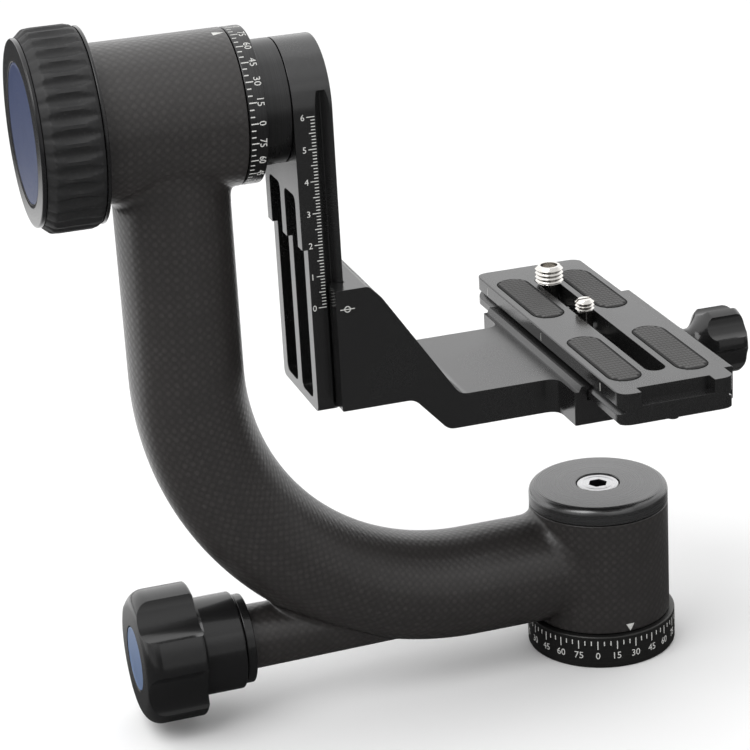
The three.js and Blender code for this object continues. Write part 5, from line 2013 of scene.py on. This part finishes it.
@dataclass
class SlidingPlate(Assembly):
    """The quick-release plate with its rubber pads and stop screws.

    Attributes:
        frame: The loaded frame.
        top: The height of the plate's top.
        rise: How far the pads stand proud.
        cell: The pitch of the pads' studs across the plate.
        step: Their pitch along it.
        margin: The studs' distance from the pad's edge.
        lines: Where the witness lines stand on the plate's left side.
    """

    frame: dict
    top: float = 114.7
    rise: float = 0.4
    cell: float = 1.3
    step: float = 1.9
    margin: float = 0.8
    lines: tuple[float, ...] = (-51.0, -1.5, 48.0)

    def build(self) -> None:
        """Make the plate's pieces."""
        machined(self.frame, "sliding_plate", "quick_plate", 0.3, "plate")
        self.pads()
        self.stops()
        self.witness()

    def pads(self) -> None:
        """Make one pad and copy it, and paint shade into the grooves between the studs."""
        first = self.pad()
        low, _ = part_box("rubber_pad_1")
        pads = [first]
        for i in (2, 3, 4):
            offset = (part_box(f"rubber_pad_{i}")[0] - low) / MM
            pads.append(copy_of(first, f"plate_pad_{i}"))
            sculpt(pads[-1], lambda point, offset=offset: point + offset)
        for i, pad in enumerate(pads):
            fit(pad, PAD, "plate", f"rubber_pad_{i + 1}", crisp=0.0)
            # Painted shade: faces more than 0.2 mm under the stud tops take the near-black groove finish.
            tint(pad, GROOVE_SHADE, lambda place: place.z < self.top + self.rise - 0.2)

    def pad(self) -> Piece:
        """Make one pad: a slab with round ends and a field of small studs on it.

        Returns:
            The pad.
        """
        low, high = box_of("rubber_pad_1")
        half = (high.x - low.x) / 2
        middle = (high.x + low.x) / 2
        base = self.top + self.rise - 0.22
        outline = [
            around((middle, y), half, turn + math.pi * k / 20)
            for y, turn in ((low.y + half, math.pi), (high.y - half, 0.0))
            for k in range(21)
        ]
        slab = prism("slab", outline, low.z, base, Way.Z)
        soften(slab, 0.12, 1, 50.0)
        studs = self.studs(low, high, base)
        pad = gather("plate_pad_1", [slab, studs])
        smooth(pad, 30.0)
        return pad

    def studs(self, low: Vector, high: Vector, base: float) -> Piece:
        """Make the field of studs: a grid trimmed to the pad, extruded and inset cell by cell.

        Args:
            low: The pad's low corner.
            high: Its high corner.
            base: The height of the slab under the studs.

        Returns:
            The studs.
        """
        half = (high.x - low.x) / 2
        middle = (low + high) / 2
        columns = int((2 * half - 0.5) / self.cell)
        rows = int((high.y - low.y - 0.5) / self.step)
        put_down()
        bpy.ops.mesh.primitive_grid_add(x_subdivisions=columns, y_subdivisions=rows, size=1.0)
        studs = named("studs")

        def spread(point: Vector) -> Vector:
            """Stretch the grid over the pad."""
            x = middle.x + point.x * MM * columns * self.cell
            return Vector((x, middle.y + point.y * MM * rows * self.step, base - 0.1))

        sculpt(studs, spread)
        doomed = []
        for face in studs.data.polygons:
            x, y, _ = face.center / MM
            end = min(max(y, low.y + half), high.y - half)
            if math.hypot(x - middle.x, y - end) > half - self.margin:
                doomed.append(face.index)
        open_mesh(studs)
        bpy.ops.mesh.select_all(action="DESELECT")
        bpy.ops.object.mode_set(mode="OBJECT")
        for index in doomed:
            studs.data.polygons[index].select = True
        bpy.ops.object.mode_set(mode="EDIT")
        bpy.context.tool_settings.mesh_select_mode = (False, False, True)
        bpy.ops.mesh.delete(type="FACE")
        bpy.ops.mesh.select_all(action="SELECT")
        extrude(Vector((0.0, 0.0, 0.12)))
        bpy.ops.mesh.inset(thickness=0.27 * MM, depth=0.2 * MM, use_individual=True)
        bpy.context.tool_settings.mesh_select_mode = (True, False, False)
        close_mesh()
        return studs

    def stops(self) -> None:
        """Make the two stop screws under the plate's ends."""
        for i in (1, 2):
            low, high = box_of(f"plate_stop_screw_{i}")
            profile = (
                (0.0, low.z, 0.0), (2.0, low.z, 0.5), (2.0, low.z + 1.5, 0.1),
                (1.3, low.z + 1.5, 0.0), (1.3, high.z, 0.0), (0.0, high.z, 0.0),
            )
            centre = ((low.x + high.x) / 2, (low.y + high.y) / 2)
            key = (1.6, low.z - BEYOND, low.z + 1.0)
            screw = SocketScrew(f"stop_screw_{i}", profile, Way.Z, centre, 40, key).piece()
            fit(screw, BLACK_STEEL, "plate", f"plate_stop_screw_{i}")

    def witness(self) -> None:
        """Paint the thin lines on the plate's left side."""
        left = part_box("sliding_plate")[0].x / MM

        def spot(y: float) -> Spot:
            """Where a line lies on the side."""
            return lambda right, up, out: Vector((left - out, y + right, self.top - 2.6 + up))

        paint("plate_witness_lines", [stroke((0.3, 2.6), spot(y)) for y in self.lines], "plate")


@dataclass
class CameraScrew(Assembly):
    """A camera screw in the plate's slot, and the washer that holds it up.

    Attributes:
        node: The CAD node.
        body: The body it rides on.
        place: Where it stands along Y.
        radius: The thread's radius.
        pitch: The thread's pitch.
        neck: The radius of the plain neck.
        tip: The height of its tip.
        socket: The radius of the socket in its tip, or zero where it has a slot.
        slot: The width of the slot.
        head: The radius of its head and of the washer.
        levels: The heights of the head's underside and top, and where the thread starts.
    """

    node: str
    body: str
    place: float
    radius: float
    pitch: float
    neck: float
    tip: float
    socket: float = 0.0
    slot: float = 0.0
    head: float = 5.9
    levels: Triple = (105.0, 107.0, 115.6)

    def build(self) -> None:
        """Make the screw and its washer."""
        centre = (0.0, self.place)
        screw = lathe(f"{self.node}_body", self.profile(), Way.Z, centre, 72)
        carve(screw, self.tool())
        fit(screw, NICKEL, self.body, self.node, crisp=40.0)
        low, high = box_of(f"{self.node}_washer")
        bore = self.neck + 0.35
        corners = (
            (bore, low.z, 0.1), (self.head, low.z, 0.15), (self.head, high.z, 0.15), (bore, high.z, 0.1)
        )
        washer = turned(f"{self.node}_ring", corners, Way.Z, centre, 64, loop=True, steps=2)
        fit(washer, STEEL, f"{self.body}_washer", f"{self.node}_washer")

    def profile(self) -> list[Point]:
        """Draw the screw from its head to its tip.

        Returns:
            The line as radii and heights.
        """
        foot, head, start = self.levels
        line = [(0.0, foot), (self.head - 0.3, foot), (self.head, foot + 0.3), (self.head, head)]
        line += [(self.neck, head), (self.neck, start - 0.2), (self.radius - 0.55, start)]
        turns = round((self.tip - start) / self.pitch)
        pitch = (self.tip - 0.35 - start) / turns
        thread = ((0.62, 0.08), (0.08, 0.44), (0.0, 0.5), (0.08, 0.56), (0.62, 0.92))
        for i in range(turns):
            low = start + i * pitch
            line += [(self.radius - depth, low + share * pitch) for depth, share in thread]
        return [*line, (self.radius - 0.75, self.tip - 0.3), (self.radius - 1.05, self.tip), (0.0, self.tip)]

    def tool(self) -> Piece:
        """Make the tool that cuts the socket or the slot.

        Returns:
            The tool.
        """
        if self.socket:
            centre = (0.0, self.place)
            return round_bar(self.socket, self.tip - 3.5, self.tip + BEYOND, Way.Z, centre, 48)
        half = self.slot / 2
        reach = self.radius + BEYOND
        near_side, far_side = self.place - half, self.place + half
        outline = [(-reach, near_side), (reach, near_side), (reach, far_side), (-reach, far_side)]
        return prism("tool", outline, self.tip - 1.0, self.tip + BEYOND, Way.Z)


@dataclass
class Internals(Assembly):
    """The CAD nodes that stay as they are, and the finish each of them gets.

    Attributes:
        frame: The loaded frame.
    """

    frame: dict

    def build(self) -> None:
        """Give each shown CAD node its finish."""
        for name, node in self.frame["nodes"].items():
            matching = (made for start, made in HIDDEN_FINISHES.items() if name.startswith(start))
            finish = next(matching, STEEL)
            for slot in node.material_slots:
                slot.material = finish.material()
            LOG.info("CAD node %s wears %s", name, finish.name)


@dataclass
class Lamp:
    """A soft box.

    Attributes:
        name: Its name.
        place: Where it stands, in millimetres.
        size: The length of its sides in metres.
        power: Its power in watts.
        aim: What it points at.
    """

    name: str
    place: Triple
    size: float
    power: float
    aim: Triple = (-60.0, 0.0, 110.0)

    def stand(self) -> None:
        """Set the lamp up."""
        put_down()
        bpy.ops.object.light_add(type="AREA", location=Vector(self.place) * MM)
        lamp = bpy.context.active_object
        lamp.name = self.name
        lamp.data.size = self.size
        lamp.data.energy = self.power
        toward = Vector(self.aim) - Vector(self.place)
        lamp.rotation_euler = toward.to_track_quat("-Z", "Y").to_euler()


@dataclass
class Studio(Assembly):
    """The floor, the soft light and the camera.

    Attributes:
        azimuth: The camera's azimuth in degrees.
        elevation: Its elevation.
        roll: Its roll.
        place: Where it stands, in millimetres.
        focal: The focal length in pixels of a picture 750 wide.
        width: The picture's width in pixels.
        sensor: The sensor's width in millimetres.
        floor_size: The floor's width in metres.
        lamps: A large soft box high on the left, and a weak fill at the front.
    """

    azimuth: float = -16.81
    elevation: float = 20.86
    roll: float = 3.3
    place: Triple = (-294.56, -725.37, 396.6)
    focal: float = 2543.46
    width: float = 750.0
    sensor: float = 36.0
    floor_size: float = 14.0
    lamps: tuple[Lamp, ...] = (
        Lamp("key_softbox", (-700.0, -300.0, 1100.0), 0.9, 7.0),
        Lamp("front_fill", (300.0, -1300.0, 500.0), 1.2, 1.6),
    )

    def build(self) -> None:
        """Set up the studio."""
        self.floor()
        self.world()
        for lamp in self.lamps:
            lamp.stand()
        self.camera()

    def floor(self) -> None:
        """Lay a pale floor under the base, which mirrors less than it shows."""
        put_down()
        bpy.ops.mesh.primitive_plane_add(size=self.floor_size, location=(0.0, 0.0, 0.0))
        floor = named("floor")
        material = bpy.data.materials.new("pale_floor")
        material.use_nodes = True
        material.node_tree.nodes.clear()
        graph = Graph(material.node_tree)
        y = graph.split(graph.node("ShaderNodeTexCoord").outputs["Object"])[1]
        band = graph.math("MULTIPLY", graph.between(y, 0.02, 0.2), graph.between(y, 0.72, 0.52))
        mirrored = graph.blend(band, opaque((0.07, 0.07, 0.07)), opaque((1.0, 1.0, 1.0)))
        glossy = graph.node("ShaderNodeLightPath").outputs["Is Glossy Ray"]
        colour = graph.blend(glossy, opaque((0.93, 0.93, 0.93)), mirrored)
        shader = graph.fed("ShaderNodeBsdfDiffuse", {"Color": colour})
        graph.feed(graph.node("ShaderNodeOutputMaterial").inputs["Surface"], shader)
        floor.data.materials.append(material)

    def world(self) -> None:
        """Hang a white backdrop that lights softly from above, behind and both sides."""
        world = bpy.data.worlds.new("studio")
        bpy.context.scene.world = world
        world.use_nodes = True
        world.node_tree.nodes.clear()
        graph = Graph(world.node_tree)
        x, y, z = graph.split(graph.node("ShaderNodeTexCoord").outputs["Generated"])
        behind = graph.between(y, -0.15, 0.55, (0.0, 1.2))
        above = graph.between(z, 0.25, 0.85, (0.0, 0.75))
        left = graph.between(x, -0.35, -0.95, (0.0, 0.45))
        right = graph.between(x, 0.55, 0.95, (0.0, 0.4))
        total = graph.math("ADD", graph.math("ADD", behind, above), graph.math("ADD", left, right))
        total = graph.math("MINIMUM", graph.math("ADD", total, 0.1), 1.35)
        seen = graph.node("ShaderNodeLightPath").outputs["Is Camera Ray"]
        inputs = {"Color": (1.0, 1.0, 1.0, 1.0), "Strength": graph.mix(seen, total, 1.0)}
        light = graph.fed("ShaderNodeBackground", inputs)
        graph.feed(graph.node("ShaderNodeOutputWorld").inputs["Surface"], light)

    def camera(self) -> None:
        """Set the camera at the photograph's viewing angle."""
        turn, lift, roll = (math.radians(a) for a in (self.azimuth, self.elevation, self.roll))
        back = Vector((math.sin(turn) * math.cos(lift), -math.cos(turn) * math.cos(lift), math.sin(lift)))
        right = Vector((math.cos(turn), math.sin(turn), 0.0))
        up = back.cross(right)
        cosine, sine = math.cos(roll), math.sin(roll)
        rows = (right * cosine - up * sine, right * sine + up * cosine, back)
        put_down()
        bpy.ops.object.camera_add()
        camera = bpy.context.active_object
        camera.name = "camera"
        camera.data.sensor_width = self.sensor
        camera.data.lens = self.focal * self.sensor / self.width
        camera.data.clip_start = 0.01
        camera.data.clip_end = 50.0
        axes = Matrix(rows).transposed().to_4x4()
        camera.matrix_world = Matrix.Translation(Vector(self.place) * MM) @ axes
        bpy.context.scene.camera = camera


def main() -> None:
    """Build the sub-assemblies in order."""
    logging.basicConfig(level=logging.INFO, format="%(message)s")
    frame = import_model()
    assemblies: tuple[Assembly, ...] = (
        Internals(frame),
        Studio(),
        PanBase(),
        GimbalArm(),
        PanKnob(),
        TiltKnob(),
        Cradle(frame),
        LensBracket(frame),
        QuickClamp(frame),
        SlidingPlate(frame),
        CameraScrew("camera_screw_large", "large_screw", 39.0, 4.76, 1.5, 3.05, 121.5, socket=2.9),
        CameraScrew("camera_screw_small", "small_screw", 7.6, 3.17, 1.27, 2.6, 119.3, slot=0.9),
    )
    for assembly in assemblies:
        assembly.build()
        LOG.info("built %s", type(assembly).__name__)
    put_down()
    bpy.context.scene.view_settings.view_transform = "Standard"


if __name__ == "__main__":
    main()
